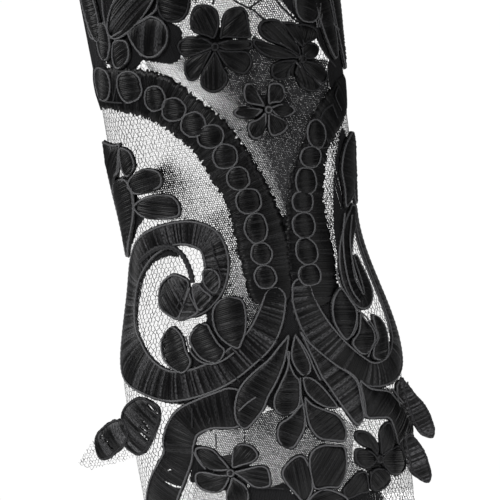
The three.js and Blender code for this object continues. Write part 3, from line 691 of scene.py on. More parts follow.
# Petals and leaves drawn point by point round their edge, from the root
drawnPetals = {
    "small_flower": [
        [[10.6, 30.4], [9.5, 33.6], [8.3, 36.3], [6.6, 37.2], [5.4, 35.9], [5.1, 33.6], [5.9, 31.8],
         [8.3, 30.9]],
        [[11.2, 30.6], [11.3, 33.3], [11.9, 35.8], [13.3, 36.4], [15.4, 35.9], [16.3, 34.3], [16, 32.3],
         [14.7, 30.9], [12.6, 30.9]],
        [[11.4, 30], [13.6, 30.8], [16.1, 30.7], [17.9, 29.8], [18.6, 28.4], [17, 27.3], [14.5, 27.1],
         [12.5, 28.1]],
        [[10, 29.9], [7.8, 30.7], [4.5, 31.4], [2.7, 30.9], [2, 29.8], [3.1, 28.6], [5.9, 28],
         [8.3, 28.4]],
        [[10.5, 29.4], [8.2, 27.9], [6, 27.4], [5, 25.8], [5.3, 23.7], [6.4, 22.6], [8, 22.6],
         [9.2, 24.2], [10.4, 26.6]],
        [[11, 29.3], [13, 28.1], [15.2, 26.5], [15.8, 24.7], [14.5, 23.3], [12.2, 22.6], [10.7, 23],
         [10.2, 25.1], [10.5, 27.4]]],
    "arm_flower_left": [
        [[-0.1, 48.8], [-1.9, 49.8], [-4.2, 50.9], [-5.4, 52.6], [-5, 55.8], [-3.4, 57.8], [-1, 58],
         [1, 56.9], [1.9, 55], [1.8, 52.3], [1.1, 50.4]],
        [[1.1, 48.8], [2, 52.2], [2.9, 54.9], [4.7, 56.1], [7.2, 56.3], [8.7, 55.1], [9, 53], [9, 50.5],
         [9.2, 48.5], [7.7, 47.9], [4.5, 48.4], [2.8, 48.8]],
        [[-0.1, 47], [-1.5, 49.2], [-4.3, 50.4], [-6.8, 50.5], [-8.9, 49.6], [-9.4, 47.9], [-8.7, 46.3],
         [-6.6, 45.4], [-3.2, 45.9]],
        [[-0.7, 46.6], [-4, 46.1], [-6.9, 45.2], [-8.4, 43.7], [-8.7, 41.5], [-7.8, 39.5], [-6, 39.5],
         [-4.2, 41.3], [-2.6, 43.6]],
        [[-0.1, 47.5], [2.5, 48.4], [6.2, 48.1], [9.1, 47.5], [8.9, 45.3], [5.9, 45.4], [2.2, 45.7]],
        [[0, 46.5], [2.9, 45.8], [6.6, 45.3], [8.2, 44.3], [8.7, 42], [7.7, 40.1], [6.1, 39.1],
         [4.1, 39.8], [2.3, 41.4], [1.1, 43]],
        [[-0.5, 46.3], [-2.3, 44], [-4.1, 41.8], [-5, 39.4], [-4.8, 37.3], [-2.5, 35.7], [0.1, 36.1],
         [1.9, 37.9], [2.1, 39.9], [1.4, 41.5], [0.9, 43.6], [0.2, 45.7]]],
    "arm_flower_right": [
        [[21.5, 41.8], [17.5, 44.5], [13.6, 46.4], [11.5, 48.2], [11, 50.3], [12.2, 52.1], [14.8, 52.3],
         [16.9, 51.6], [18.3, 49.5], [19.7, 46.8], [21.8, 44.3]],
        [[22.4, 41.2], [18.8, 43.9], [14.1, 45.9], [10.2, 47.9], [9, 46.5], [10.1, 44.6], [12.4, 42.8],
         [15.8, 41.7], [19.4, 41.5]],
        [[22.4, 44], [20.5, 45.7], [18.7, 48.2], [17.1, 50.8], [19, 51.1], [21.3, 50.4], [21.9, 48.4],
         [23.2, 45.5]],
        [[22.7, 44.5], [21.2, 46.7], [20.2, 48.8], [21.2, 50.2], [24, 50.2], [27.2, 49], [28, 47.2],
         [27.1, 45.7], [25.1, 45.3]],
        [[22.4, 41.5], [22, 43.5], [23.4, 45.2], [26.4, 45.2], [28, 43.6], [27, 41.6], [24.5, 40.8]],
        [[20.6, 41.2], [16.3, 41.6], [13.6, 40.9], [12.8, 39], [13.4, 37.1], [15.5, 36.4], [17.5, 36.9],
         [18.3, 38.9]],
        [[21.4, 41.1], [22.4, 39], [24.7, 36.7], [27.1, 34.5], [26.5, 33], [23.8, 32.7], [21.2, 34],
         [19.7, 36.7], [20, 39.2]],
        [[21.7, 41], [25.1, 40.5], [28.4, 39], [30.5, 36.8], [29.4, 34.9], [27.4, 34.5], [24.6, 36.5],
         [22.3, 38.5]]],
    "arm_leaf_satin": [
        [[-14.7, 57.4], [-12.3, 56.2], [-10.9, 54], [-11, 50.9], [-12.4, 48.4], [-14.9, 46.7],
         [-17.4, 46.6], [-19.1, 47.6], [-20.5, 49.4], [-21.5, 51.6], [-21.8, 54.2], [-20, 55.7],
         [-17, 56.7]]],
    "arm_drop": [
        [[-26.7, 52.6], [-24.3, 52.8], [-22.3, 52], [-21.9, 49.6], [-22.8, 47.2], [-24.8, 45.7],
         [-27, 45.2], [-28.4, 46.4], [-28.3, 49.5]]],
    "left_flower": [
        [[-31.8, 15.3], [-30.6, 17.3], [-28.2, 18.6], [-25.1, 19.5], [-22.2, 19.4], [-19.7, 18.3],
         [-19, 16.1], [-20, 14.2], [-22.1, 13.5], [-25.5, 13.1], [-29.2, 13.2]],
        [[-30.4, 11], [-26.1, 12.4], [-21.4, 12.6], [-17.9, 12.1], [-16.1, 10.6], [-15.5, 8.5],
         [-16.2, 6.3], [-18.7, 5.8], [-24.1, 6.2], [-28.2, 7.2], [-30.7, 9.2]]],
    "left_petal_upper": [
        [[-31.9, 25.7], [-28.4, 25], [-27, 23.1], [-26.8, 20.7], [-28, 19.1], [-30.8, 17.8],
         [-32.7, 20.1]]],
    "left_petal_edge": [
        [[-45, 28.4], [-34.5, 27], [-31.2, 26.7], [-32.6, 23.2], [-34.4, 19.7], [-39.1, 17.5], [-44, 13],
         [-44, 17], [-45, 22.3]]],
    "left_stem_leaf": [
        [[-39.5, 17], [-33.5, 18.1], [-30.8, 16.8], [-30, 13.3], [-31.5, 8.3], [-35.1, 3.4],
         [-41.1, -2.3], [-45, 2.5], [-44, 9], [-44, 13]]],
    "bud_round": [
        [[-4.9, -29.2], [-7.9, -27.3], [-10.1, -24.2], [-10.8, -20.3], [-10, -17.4], [-7.7, -15.7],
         [-4.6, -15.6], [-2.1, -16.7], [-1.5, -20.1], [-2.1, -24.6], [-3.5, -27.7]]],
    "bud_middle": [
        [[-11.4, -31.9], [-14.3, -30.5], [-16.1, -28], [-17.2, -25], [-16, -22.7], [-13.8, -21.4],
         [-11.7, -21.5], [-10.6, -23.9], [-9.3, -26.6], [-7.8, -28.8], [-9.1, -31.2]]],
    "bud_low": [
        [[-19, -33.4], [-21.8, -32.3], [-24.1, -29.8], [-25.1, -26.6], [-24.7, -23.6], [-22.9, -21.6],
         [-21.1, -21], [-19.5, -22.2], [-18.2, -24.4], [-17.6, -27.5], [-16.6, -30.7]]],
    "right_oval": [
        [[24.4, -17.2], [21.7, -19], [20, -22.1], [19.6, -25.7], [20.7, -29.2], [22.2, -31],
         [24.5, -29.5], [26.7, -26.2], [27.4, -23.1], [26.2, -20.1]]],
    "right_bud_middle": [
        [[27.9, -24.2], [29.4, -26.5], [30.9, -29.1], [30.7, -31.9], [28.4, -34.7], [25.6, -35.1],
         [23.5, -32.7], [23.6, -30.9], [25.9, -28.7]]],
    "right_bud_low": [
        [[31.7, -25.2], [34.3, -26.3], [35.6, -28.8], [35.4, -32.5], [34.4, -36], [31.8, -37.5],
         [28.7, -36.3], [29.3, -33.3], [31.2, -31.4], [31.1, -28.3]]],
    "right_strip": [
        [[40.8, 21.9], [45, 21], [44, 17], [44, 13], [44, 9], [37.2, 4.3], [33.2, 2.5], [33, 7.1],
         [32, 12.2], [33.4, 16.7], [36, 19.7]]],
    "drop_upper": [
        [[9.5, -27], [8, -29.9], [7.3, -32.8], [7.9, -35.7], [9.7, -38.3], [11.8, -37.6], [12.3, -35.4],
         [11.4, -31.7], [10.4, -29]]],
    "drop_left": [
        [[7.1, -31], [5.9, -35.4], [3.7, -39.2], [1.9, -42.2], [1.5, -44.9], [2.7, -46.9], [5.3, -47.3],
         [7.7, -46.1], [8.8, -43.2], [9.1, -39], [8.1, -37.3], [7.3, -34.1]]],
    "drop_right": [
        [[9.5, -38.3], [11.9, -38.6], [14.1, -40.8], [16, -43.8], [17.6, -47.2], [15.2, -47.3],
         [12.9, -46.2], [10.7, -44], [9.5, -41.6]]],
    "drop_low_right": [
        [[9.3, -43.1], [11.5, -45.4], [14.5, -47.2], [16.9, -48.6], [18.4, -50.8], [19, -53.7],
         [17.9, -56.1], [14.9, -55.6], [11.7, -54.6], [9.8, -52.1], [9, -48.6]]],
    "drop_low_left": [
        [[8.9, -44.5], [5, -47.5], [2.4, -48.9], [1.3, -51.5], [1.7, -54.1], [3.7, -55.7], [5.4, -55.7],
         [7.1, -53.7], [8.7, -51.1], [9.3, -47.1]]],
    "leaf_long": [
        [[10.8, -26.7], [13.2, -30.1], [15.9, -33.4], [18.8, -36.4], [21.7, -38.8], [23.5, -41.2],
         [24, -43.8], [24.1, -46.9], [24.1, -50.7], [22.4, -52.7], [20.9, -52], [18.9, -48.6],
         [17.1, -45.3], [15.5, -42], [13.9, -38.9], [12.7, -34.9], [11.5, -30.9]]],
    "leaf_left": [
        [[8.2, -27.1], [5.4, -29], [2, -32.3], [-1.5, -34.6], [-4.7, -37.1], [-6.8, -39.9], [-8, -43.5],
         [-8, -46.9], [-6.4, -49.4], [-4.7, -49.1], [-2.4, -47.1], [-0.4, -44.9], [1.1, -42.1],
         [3.3, -39.1], [5.2, -35.8], [6.6, -32.7]]],
    "leaf_hem_right": [
        [[23.9, -41], [27.2, -43.5], [32.9, -45.1], [36.5, -48.3], [45, -52.5], [45, -57], [42, -58.9],
         [35.9, -58.3], [33.5, -59.5], [32.6, -55.8], [31.3, -52.5], [28.4, -51.9], [24.4, -51],
         [24.1, -46.9]]],
    "hem_flower_left": [
        [[-10.7, -59], [-11.6, -56.8], [-12.9, -54.9], [-14.1, -53.2], [-16.5, -52.1], [-18.6, -52.1],
         [-19.4, -53.5], [-18.6, -55.7], [-16.8, -57.7], [-14.2, -59]],
        [[-10.4, -58.7], [-10.3, -56], [-9.5, -53.8], [-7.6, -52.5], [-5.2, -53.1], [-3.7, -54.8],
         [-3.5, -56.6], [-5.1, -57.9], [-7.6, -58.4]],
        [[-10.3, -59.5], [-7.2, -58.9], [-4, -58.6], [-1.9, -59.2], [-1.2, -61.3], [-1.6, -64.3],
         [-3.9, -64.7], [-6.2, -63.9], [-8.1, -61.8]],
        [[-10.9, -60.2], [-14, -59.5], [-17, -58.4], [-19.6, -58.4], [-20.4, -60.3], [-19.7, -62.4],
         [-17.3, -64], [-14.7, -64.3], [-12.6, -63.3]],
        [[-10.7, -60.5], [-8.9, -61.7], [-7.4, -63.5], [-7, -66.3], [-8.4, -68.9], [-11.4, -69],
         [-12.9, -67.1], [-12.7, -64.3], [-11.7, -62.4]]],
    "hem_flower_middle": [
        [[5.9, -70], [3.2, -66.5], [1.4, -63.2], [1.3, -60.9], [3, -58.9], [5.4, -57.5], [7.3, -57.8],
         [8.3, -59.9], [8.5, -63.3], [8.6, -66.8]],
        [[8.6, -66.8], [7.9, -62.7], [8.1, -59.2], [9.4, -56.8], [12.1, -55.7], [15.3, -56.2],
         [17.8, -57.1], [18.1, -60.7], [17, -64.6], [15, -67.4], [12, -67.1]],
        [[4.4, -71.8], [7.9, -67.8], [11.3, -66.8], [14.4, -68], [17, -70.5], [15.8, -73.1],
         [11.6, -73.9]]],
    "hem_flower_right": [
        [[26.3, -61.5], [24.9, -59.3], [22.3, -57.8], [20.6, -55.8], [21.2, -53.8], [23.6, -54],
         [25.7, -55.6], [27.1, -58.3]],
        [[26.3, -61.5], [24.9, -59.5], [22.2, -58.3], [20.5, -58.3], [19.7, -60.5], [20.7, -62.7],
         [23.1, -63.8], [25.6, -62.7]],
        [[27.3, -61.2], [27.2, -58.1], [27.7, -54.8], [29.9, -52.8], [31.9, -53.4], [32.4, -56.5],
         [31.6, -59.5], [29.3, -60.7]],
        [[27.2, -62.2], [29, -60.4], [32, -59.3], [34, -59.1], [35.7, -61.4], [36.6, -64.3],
         [34.3, -66.5], [30.4, -66.5], [28.3, -64.9]],
        [[24.2, -64.2], [26.6, -63.9], [29.2, -65.5], [29.5, -67.9], [27.3, -69.6], [24.8, -70],
         [22.9, -68.6], [23, -66.1]],
        [[22.7, -64.5], [22.9, -66.9], [22.5, -69.6], [20, -69.9], [16.4, -70.6], [15.5, -67.9],
         [18.2, -65.3], [20.6, -63.9]]],
}

# Pieces that stand out from the sleeve's sides
drawnFlaps = {
    "free_leaf_upper": [
        [[34.5, -42.1], [36.3, -44.4], [38, -47.2], [39.7, -49.8], [40.9, -52.8], [41.5, -56.5],
         [40.7, -58.7], [38.2, -57.5], [36.5, -55], [35.4, -51.5], [34.6, -47.5]]],
    "free_leaf_lower": [
        [[34.3, -56.2], [36.4, -58], [38.1, -61.1], [38.9, -64.3], [39.3, -67.9], [38.2, -69.8],
         [35.8, -68.4], [33.8, -65.8], [33.6, -61.9], [33.2, -58.6]]],
    "lobe_inner": [
        [[-31.4, -37.7], [-34.1, -38.6], [-36.1, -40.4], [-36.8, -42.9], [-35.6, -45.6], [-37, -49.3],
         [-35.5, -51.5], [-33.7, -52.6], [-31.4, -51.6], [-29.5, -49], [-27.5, -46.1], [-26.2, -43.4],
         [-26.3, -40.8], [-28.6, -38.8]]],
    "lobe_outer": [
        [[-35.4, -44.1], [-37.2, -42.6], [-39.9, -43], [-42.7, -44.7], [-44.3, -47], [-44.3, -50.1],
         [-43.6, -52.3], [-41.9, -52.5], [-39.7, -51.5], [-37.4, -50], [-35.5, -48.2]]],
}

# The hearts of the flowers, where their petals meet
knots = {"small_flower": [11.1, 29.6], "arm_flower_left": [-0.1, 47], "arm_flower_right": [22.1, 41.3],
         "hem_flower_left": [-10.8, -59.7], "hem_flower_right": [26.6, -61.8]}

# How blunt an egg is, the small round knot at a flower's heart, and the ground stitched under its petals
egg = {"points": 14, "blunt": 0.8}
knot = {"across": 2.4, "rise": 0.7}
heart = {"share": 0.55, "base": 0, "tooth": 0.1, "dome": 0.1}
# Height over the net of petals on the sleeve and on the pieces off its sides, and of each next layer
seated = {"sleeve": 0.35, "flap": 1.7, "layer": 0.14}


def eggOutline(row):
    rootX, rootY, tipX, tipY, width, pinch = row
    angle = 2 * math.pi * (np.arange(egg["points"]) + 0.5) / egg["points"]
    share = (1 - np.cos(angle)) / 2
    half = np.sign(np.sin(angle)) * np.abs(np.sin(angle)) ** egg["blunt"] * (1 - pinch + pinch * share)
    half *= width / 2 / np.abs(half).max()
    dx, dy = tipX - rootX, tipY - rootY
    length = math.hypot(dx, dy)
    x, y = rootX + dx * share - dy / length * half, rootY + dy * share + dx / length * half
    return np.column_stack([x, y])


def ovalOutline(x, y, across, along):
    return eggOutline([x, y - along / 2, x, y + along / 2, across, 0])


# In flowers and satin leaves the threads run out from the root
def petalPiece(name, outlines, place, base):
    patch = patchFor(name, place)
    lengthways = "flower" in name or name in ("arm_leaf_satin", "arm_leaf_tall")
    for i, points in enumerate(outlines):
        patch.petal(points, base + seated["layer"] * (i % 3), stepFor(name), lengthways)
    if name in knots:
        x, y = knots[name]
        patch.petal(ovalOutline(x, y, knot["across"], knot["across"]), base + knot["rise"], stepFor(name))
        wide = 2 * heart["share"] * np.mean([np.ptp(np.array(points), 0).max() for points in outlines])
        under = roundOff(ovalOutline(x, y, wide, wide), petalStitch["outlineStep"])
        patch.upright(under, stepFor(name), heart)
    makePieces(name, patch, "satin")


for name, row in eggPetals.items():
    petalPiece(name, [eggOutline(row)], onSleeve, seated["sleeve"])
for name, outlines in drawnPetals.items():
    petalPiece(name, outlines, onSleeve, seated["sleeve"])
for name, outlines in drawnFlaps.items():
    petalPiece(name, outlines, onFlap, seated["flap"])
print("petals and leaves stitched:", len(eggPetals) + len(drawnPetals) + len(drawnFlaps))

# Bands and scrolls: x, y and width along the middle line
bands = {
    "hook_right": [
        [38.5, 0.5, 6], [33.5, -3.5, 5.5], [29.5, -9.5, 5.5], [28, -16, 5.5], [29.5, -21, 5.5],
        [32.5, -21, 4], [34, -17.5, 4.5], [33.5, -11, 3]],
    "volute_left": [
        [6, -18, 6.5], [4, -22.5, 7.5], [1, -27, 8], [-3.5, -30.5, 8], [-9.5, -34, 8], [-16.5, -36, 8],
        [-23.5, -36, 8.5], [-30, -33, 10], [-36.5, -27.5, 13], [-39, -20.5, 10.5], [-39, -13, 8.5],
        [-37, -6.5, 8.5], [-31.5, -1.5, 8], [-25.5, 1, 7], [-19.5, 2, 6.5], [-14, 1.5, 7], [-9.5, -1, 7.5],
        [-8, -5.5, 7.5], [-8.5, -10, 7], [-11, -14, 7], [-15.5, -16, 7.5], [-20, -14, 8]],
    "volute_right": [
        [13.5, -16.5, 6], [13.5, -20, 7], [15, -26, 8], [18, -32, 8.5], [22.5, -37, 8], [28.5, -40.5, 7],
        [35.5, -39.5, 7.5], [40.5, -35, 8.5], [41.5, -29, 7], [41.5, -22.5, 7], [41.5, -17, 7],
        [41.5, -11, 7], [41.5, -5.5, 7], [42, -0.5, 7]],
    "scroll_left": [
        [-40, 42, 10.5], [-32, 41, 10.5], [-23, 39, 12], [-16, 36, 12.5], [-10, 30.5, 11.5],
        [-4.5, 24.5, 11.5], [-0.5, 16.5, 12], [2.5, 10, 12], [4.5, 2.5, 14], [5.5, -5, 14.5],
        [5.5, -13.5, 13]],
    "scroll_right": [
        [42, 34, 5], [38.5, 31.5, 9], [32, 27.5, 9.5], [26, 22.5, 9], [22.5, 16.5, 9.5], [20.5, 10.5, 11],
        [19.5, 5, 11.5], [19, -0.5, 13], [18.5, -7, 14.5], [17.5, -14.5, 13.5]],
    "band_low_left": [
        [-9, -43.5, 11], [-15, -44, 9], [-20.5, -46, 9], [-23.3, -50, 9.5], [-24.2, -54, 9], [-27, -58, 9.8],
        [-30.3, -62, 11], [-33, -66.5, 12], [-35, -71, 12]],
}

# Beads raised on the scrolls: x, y, across and along
beads = {
    "scroll_left": [
        [-24.5, 40.5, 7.5, 7.5], [-17.5, 36.5, 5.5, 6], [-13, 33, 6, 5.5], [-8.5, 28.5, 6, 6],
        [-4.5, 25, 6.5, 5.5], [-1.5, 19.5, 6, 6], [1, 13.5, 5.5, 5.5], [3, 7.5, 6.5, 6], [4, 0.5, 6, 7],
        [4.5, -6, 5.5, 5], [4.5, -12, 5.5, 5.5]],
    "scroll_right": [
        [24, 22, 5.5, 7], [21.5, 16.5, 6, 5], [19.5, 10.5, 6, 6.5], [18, 5.5, 6, 5], [17.5, -0.5, 6.5, 6],
        [17, -7, 6, 6.5], [16.5, -13, 6, 5]],
}

# Lobes of the left volute's curled end
voluteCurl = [
    [[-15.7, -10.6], [-17.6, -8.8], [-20.3, -7.8], [-22.8, -8.5], [-24.9, -10.3], [-25.6, -13.5],
     [-25, -16.3], [-22.5, -18.4], [-19.7, -19.7], [-17.9, -17.4], [-16.6, -14.3]],
    [[-15.8, -11.6], [-17.7, -14.9], [-19.7, -19.7], [-16.4, -19.8], [-13.6, -18.4], [-14.5, -16.1],
     [-15.4, -13.9]],
    [[-15.3, -11.7], [-13.2, -11.2], [-11.7, -12.9], [-9.8, -14.9], [-11.3, -17], [-13.6, -18.4],
     [-15, -16]],
    [[-11.8, -8], [-9, -7.9], [-7.3, -9.9], [-7.4, -12.7], [-9.2, -14.7], [-11.2, -13.4], [-12.4, -11]],
]

# The bands that have a cord along the edge, and how bands and beads are stitched
cordedBands = ("hook_right", "volute_left", "volute_right", "band_low_left")
bandStitch = {"base": 0.1, "dome": 0.5, "cordedTooth": 0.3, "cordInset": 0.5, "cordOff": 0.6}
beadStitch = {"base": 0.6, "dome": 0.7, "tooth": 0.03, "jitter": 0.09, "cordInset": -0.1, "cordOff": 0.95}
for name, rows in bands.items():
    patch = patchFor(name, onSleeve)
    line = bandLine(rows, stepFor(name))
    corded = name in cordedBands
    tooth = satinStitch["toothBand"] * (bandStitch["cordedTooth"] if corded else 1)
    patch.stitch(line, bandStitch["base"], tooth, bandStitch["dome"])
    if corded:
        patch.route(outlineOf(line, bandStitch["cordInset"]), bandStitch["cordOff"], True)
    for x, y, across, along in beads.get(name, ()):
        bead = ovalOutline(x, y, across, along)
        bead = bead + random.normal(0, beadStitch["jitter"], bead.shape)
        bead = roundOff(bead, petalStitch["outlineStep"])
        patch.upright(bead, stepFor(name), beadStitch)
        patch.route(inset(bead, beadStitch["cordInset"]), beadStitch["cordOff"], True)
    if name == "volute_left":
        for i, points in enumerate(voluteCurl):
            patch.petal(points, beadStitch["base"] + seated["layer"] * (i % 3), stepFor(name))
    makePieces(name, patch, "satin")
print("bands stitched:", len(bands))

# Loose cords laid over the net and the motifs. A thick one and a thin one share the stem
voluteStem = [[-32.8, -3.8], [-29.4, -2.3], [-25.8, -1.1], [-22.3, -0.9], [-19.9, -1.5], [-17.6, -3.3],
              [-16.2, -6], [-15.3, -8.9], [-15.2, -10.9]]
looseCords = {
    "stems": [voluteStem],
    "arm": [
        [[-27.3, 64.8], [-28.1, 60.3], [-28.1, 56.4], [-27.9, 53.6], [-28.1, 51.3], [-29.3, 49.9]],
        [[-27.5, 53.5], [-23.2, 54.7], [-19.1, 55.8], [-15.6, 57], [-12.9, 58.6], [-11.9, 61.7]],
        [[-25.9, 57.9], [-24.2, 59.7], [-21.6, 61.3], [-19, 62.9]],
        [[-33.2, 63.1], [-35.6, 61.4], [-36.9, 58.9]],
        [[-30.5, 60.4], [-35.8, 58.3], [-36.1, 55.2], [-34.2, 54.2], [-31.6, 55.7], [-28.5, 57.8]],
        [[-21.8, 53.9], [-21.1, 52], [-20.1, 49.6], [-18.9, 47.6]],
        [[30, 56.7], [29.4, 52.7], [27.9, 48.9]],
        [[29.8, 55.7], [31.9, 52.6], [35.4, 49.4], [40.4, 47.4]],
        [[28.6, 48.9], [30.2, 52.1], [31.3, 54.1]],
        [[20.2, 40.7], [22, 38.5], [24.6, 36.2], [27.4, 34.5]],
        [[18.5, 40.9], [18, 38.9], [17.4, 36.7]],
        [[13.9, 49.2], [16, 46.2], [18.9, 44.1]],
        [[17.1, 51.1], [18.4, 48.2], [19.9, 46], [23.1, 45.2], [24.2, 43.4], [22.4, 41.7]]],
    "brides": [
        [[9.5, 55.5], [6.8, 57.3], [4.6, 59.2]],
        [[9.5, 55.5], [11.7, 56.7], [14.3, 57.9]],
        [[9.5, 55.5], [10.9, 54.6], [12, 53.2], [13, 52.3]],
        [[15.4, 58.3], [18, 55], [21.4, 51.4], [23.1, 50.5], [27.9, 48.9], [28.7, 46.6], [29.5, 44],
         [32.8, 40.6], [35.6, 38.7]],
        [[21.4, 57.7], [21.6, 54.2], [22.8, 50.6]],
        [[0.8, 57.7], [1.9, 60.1]]],
    "scrolls": [
        [[-27.1, 44.7], [-28.8, 41.3], [-31.1, 37.7]],
        [[-32.5, 44.4], [-34.8, 41]],
        [[-30.8, 44.2], [-33, 40.3]],
        [[-39.7, 38.9], [-32.5, 37.6], [-27.8, 36.8]],
        [[-1.7, 4.4], [0.1, 4.1]],
        [[4, 25.9], [2.7, 25.3]],
        [[31.2, 29.1], [27.8, 27.8], [26, 25.9], [23.4, 24.1], [21.8, 21.7], [21.2, 19.5]],
        [[26, 25.7], [26.1, 22.8], [27.8, 19.4]],
        [[20.6, 19.6], [23.3, 18.5], [27.7, 18.4]],
        [[31.1, 28.9], [32.5, 25.5]],
        [[35, 33.6], [32.9, 31.1], [35.1, 27.4]]],
    "left": [
        [[-32, 25.5], [-33.1, 21.7], [-34.4, 19.7], [-38, 19]],
        [[-35.8, 26.6], [-37.8, 21.8], [-40.1, 17.5], [-40.5, 12.8], [-39.3, 8.6], [-38.4, 2.3]],
        [[-32.4, 18.5], [-35.2, 14.6], [-37.7, 9.5], [-37.6, 3.8], [-39.6, -1.8]],
        [[-30.1, 15.2], [-30.3, 11.5], [-32.3, 7.6], [-35.6, 3.6], [-40, -0.3]],
        voluteStem,
        [[-25.2, 12], [-21.5, 12.3], [-18.4, 11.2]],
        [[-23.5, 9.7], [-19.9, 9.8]]],
    "curl": [
        [[-19.5, -10.4], [-21.4, -11.7], [-24, -12.9], [-24.7, -14.6], [-23.7, -16.5], [-21.9, -17.9]],
        [[-16.3, -11], [-18, -13.9], [-19.8, -16.7]],
        [[-15.6, -12.6], [-17.5, -15.7], [-19, -17.8]],
        [[-8.5, -1.6], [-8.3, -4.4], [-7.6, -7.6]],
        [[-9.1, -8.4], [-7.6, -7.6], [-7.4, -8.4], [-6.9, -10.7]],
        [[-12.4, -11.3], [-11, -13.5], [-9.2, -14.7]]],
    "volutes": [
        [[-17.7, -24], [-16.9, -27.6], [-15, -30.4], [-12.2, -31.8], [-9.1, -31.4], [-6, -29.8]],
        [[24.8, -12.3], [24.2, -15.1], [25.1, -18.9], [27.1, -23.1], [29.4, -25.7], [31, -28.8],
         [31.2, -31.4], [29, -33.2], [27.3, -35.8]],
        [[32.4, 1.2], [29.5, -5.5], [27.6, -13.2], [27.5, -18.4], [28.9, -21.7]],
        [[36.1, 0.5], [32.4, -5.8], [30.6, -13], [30.7, -19.3]],
        [[35.7, -5.5], [36, -11.8], [36.4, -17.7], [36.8, -25.2], [36.5, -30]],
        [[27, -24.1], [25.9, -27.6], [23.9, -29.9]]],
    "seams": [
        [[-7.7, -34.2], [-5.5, -37.3]],
        [[-2, -29.7], [0.9, -32.9]],
        [[-17.6, -34.9], [-17.3, -38.2]],
        [[2.8, -26.8], [4.8, -28.1]],
        [[-9.6, -60.1], [-7.5, -62.4], [-5.3, -64.3], [-1.4, -64.8], [1.4, -65.5]],
        [[-13.6, -53.2], [-13.1, -49.5]],
        [[-6.6, -52.9], [-6, -49.9]],
        [[-14, -45.3], [-14.5, -46.7]],
        [[-18.2, -42.2], [-18.9, -47.2]],
        [[14.2, -54.8], [16.1, -53.8], [17.7, -52.3]]],
    "veins": [
        [[-6.7, -44.5], [-4.5, -42.8], [-2.2, -41.6]]],
    "hem": [
        [[9.6, -27.8], [11.6, -32.2], [12.7, -36.5], [13.8, -39.7]],
        [[33.7, -44.9], [37, -48.4], [41.7, -51.9], [45, -57]],
        [[38.8, -43.4], [41.7, -47], [45, -50.9], [44, -53], [44, -57]],
        [[44.4, -44.1], [43, -47], [44, -51], [44, -55]],
        [[38.7, -60.4], [41.4, -62.8], [44, -65], [45, -69]],
        [[20.2, -37.9], [22.8, -40.3], [24, -43.8], [24, -47.4], [24.1, -50.7]],
        [[9, -38.4], [8.6, -42.7], [8.8, -46.6], [8.8, -50.4]],
        [[-19.3, -53.3], [-18.4, -55.7], [-16.9, -57.9]]],
}

# Height of each group over the net, its cord's radius, and whether the cord is dim, with a weaker painted
# highlight
laid = {
    "stems": [0.75, 0.7, True], "arm": [1.0, 0.26, False], "brides": [0.3, 0.26, True],
    "scrolls": [0.9, 0.22, True], "left": [1.0, 0.26, False], "curl": [1.5, 0.2, True],
    "volutes": [1.05, 0.24, False], "seams": [0.95, 0.18, True], "veins": [1.5, 0.2, False],
    "hem": [1.2, 0.22, False],
}
bendStep = 0.4
for name, lines in looseCords.items():
    off, radius, dim = laid[name]
    patch = Patch(onSleeve)
    for points in lines:
        patch.route(roundOff(points, bendStep, closed=False), off, False)
    settle(cordPiece(name + "LooseCords", patch.routes, radius, dim), "cord")
print("loose cords laid:", sum(len(lines) for lines in looseCords.values()))

# Top band and scalloped hem
hems = {"top_band": {"level": 76.5, "half": 2.4}, "hem_edging": {"level": None, "half": 1.1}}
hemStitch = {"points": 601, "base": 0.2, "tooth": 0.08, "dome": 0.6, "gap": 0.1, "cordInset": 0.2,
             "cordOff": 0.7, "cordStep": 0.8}
halfRound = sleeve["squaresRound"] / 2
for name, look in hems.items():
    patch = Patch(onSleeve)
    x = np.linspace(-halfRound, halfRound, hemStitch["points"])
    scalloped = hemLevel(x) + look["half"] + hemStitch["gap"]
    level = np.full(len(x), look["level"]) if look["level"] else scalloped
    line = np.column_stack([x, level, np.full(len(x), look["half"])])
    patch.stitch(line, hemStitch["base"], hemStitch["tooth"], hemStitch["dome"], side=(0.0, 1.0))
    for sign in (1, -1):
        edge = line[:-1, :2] + [0, sign * (look["half"] - hemStitch["cordInset"])]
        patch.route(edge, hemStitch["cordOff"], True, hemStitch["cordStep"])
    makePieces(name, patch, "cord")
print("hems done")


# Net: a hexagonal lattice drawn on the chart, left out behind the solid lace
def latticeOn(region, pitch):
    x0, x1, y0, y1 = region
    side = pitch / math.sqrt(3)
    columns = np.arange(math.floor(x0 / pitch), math.ceil(x1 / pitch) + 1)
    levels = np.arange(math.floor(y0 / (1.5 * side)), math.ceil(y1 / (1.5 * side)) + 1)
    column, level = np.meshgrid(columns, levels)
    x = (column + 0.5 * (level % 2)) * pitch
    y = level * 1.5 * side
    low = np.stack([x, y - side / 2], -1).reshape(-1, 2)
    high = np.stack([x, y + side / 2], -1).reshape(-1, 2)
    left = np.stack([x - pitch / 2, y + side], -1).reshape(-1, 2)
    right = np.stack([x + pitch / 2, y + side], -1).reshape(-1, 2)
    starts, ends = np.vstack([low, high, high]), np.vstack([high, left, right])
    x, y = ((starts + ends) / 2).T
    inside = (x > x0) & (x < x1) & (y > y0) & (y < y1)
    return starts[inside], ends[inside]


def insideOutline(points, outline):
    outline = np.asarray(outline, float)
    near = np.flatnonzero(((points >= outline.min(0)) & (points <= outline.max(0))).all(1))
    x, y = points[near].T
    hit = np.zeros(len(near), bool)
    for (ax, ay), (bx, by) in zip(outline, np.roll(outline, -1, 0)):
        if ay != by:
            hit ^= ((ay > y) != (by > y)) & (x < (bx - ax) * (y - ay) / (by - ay) + ax)
    result = np.zeros(len(points), bool)
    result[near] = hit
    return result


def insideAny(points, outlines):
    result = np.zeros(len(points), bool)
    for outline in outlines:
        result |= insideOutline(points, outline)
    return result


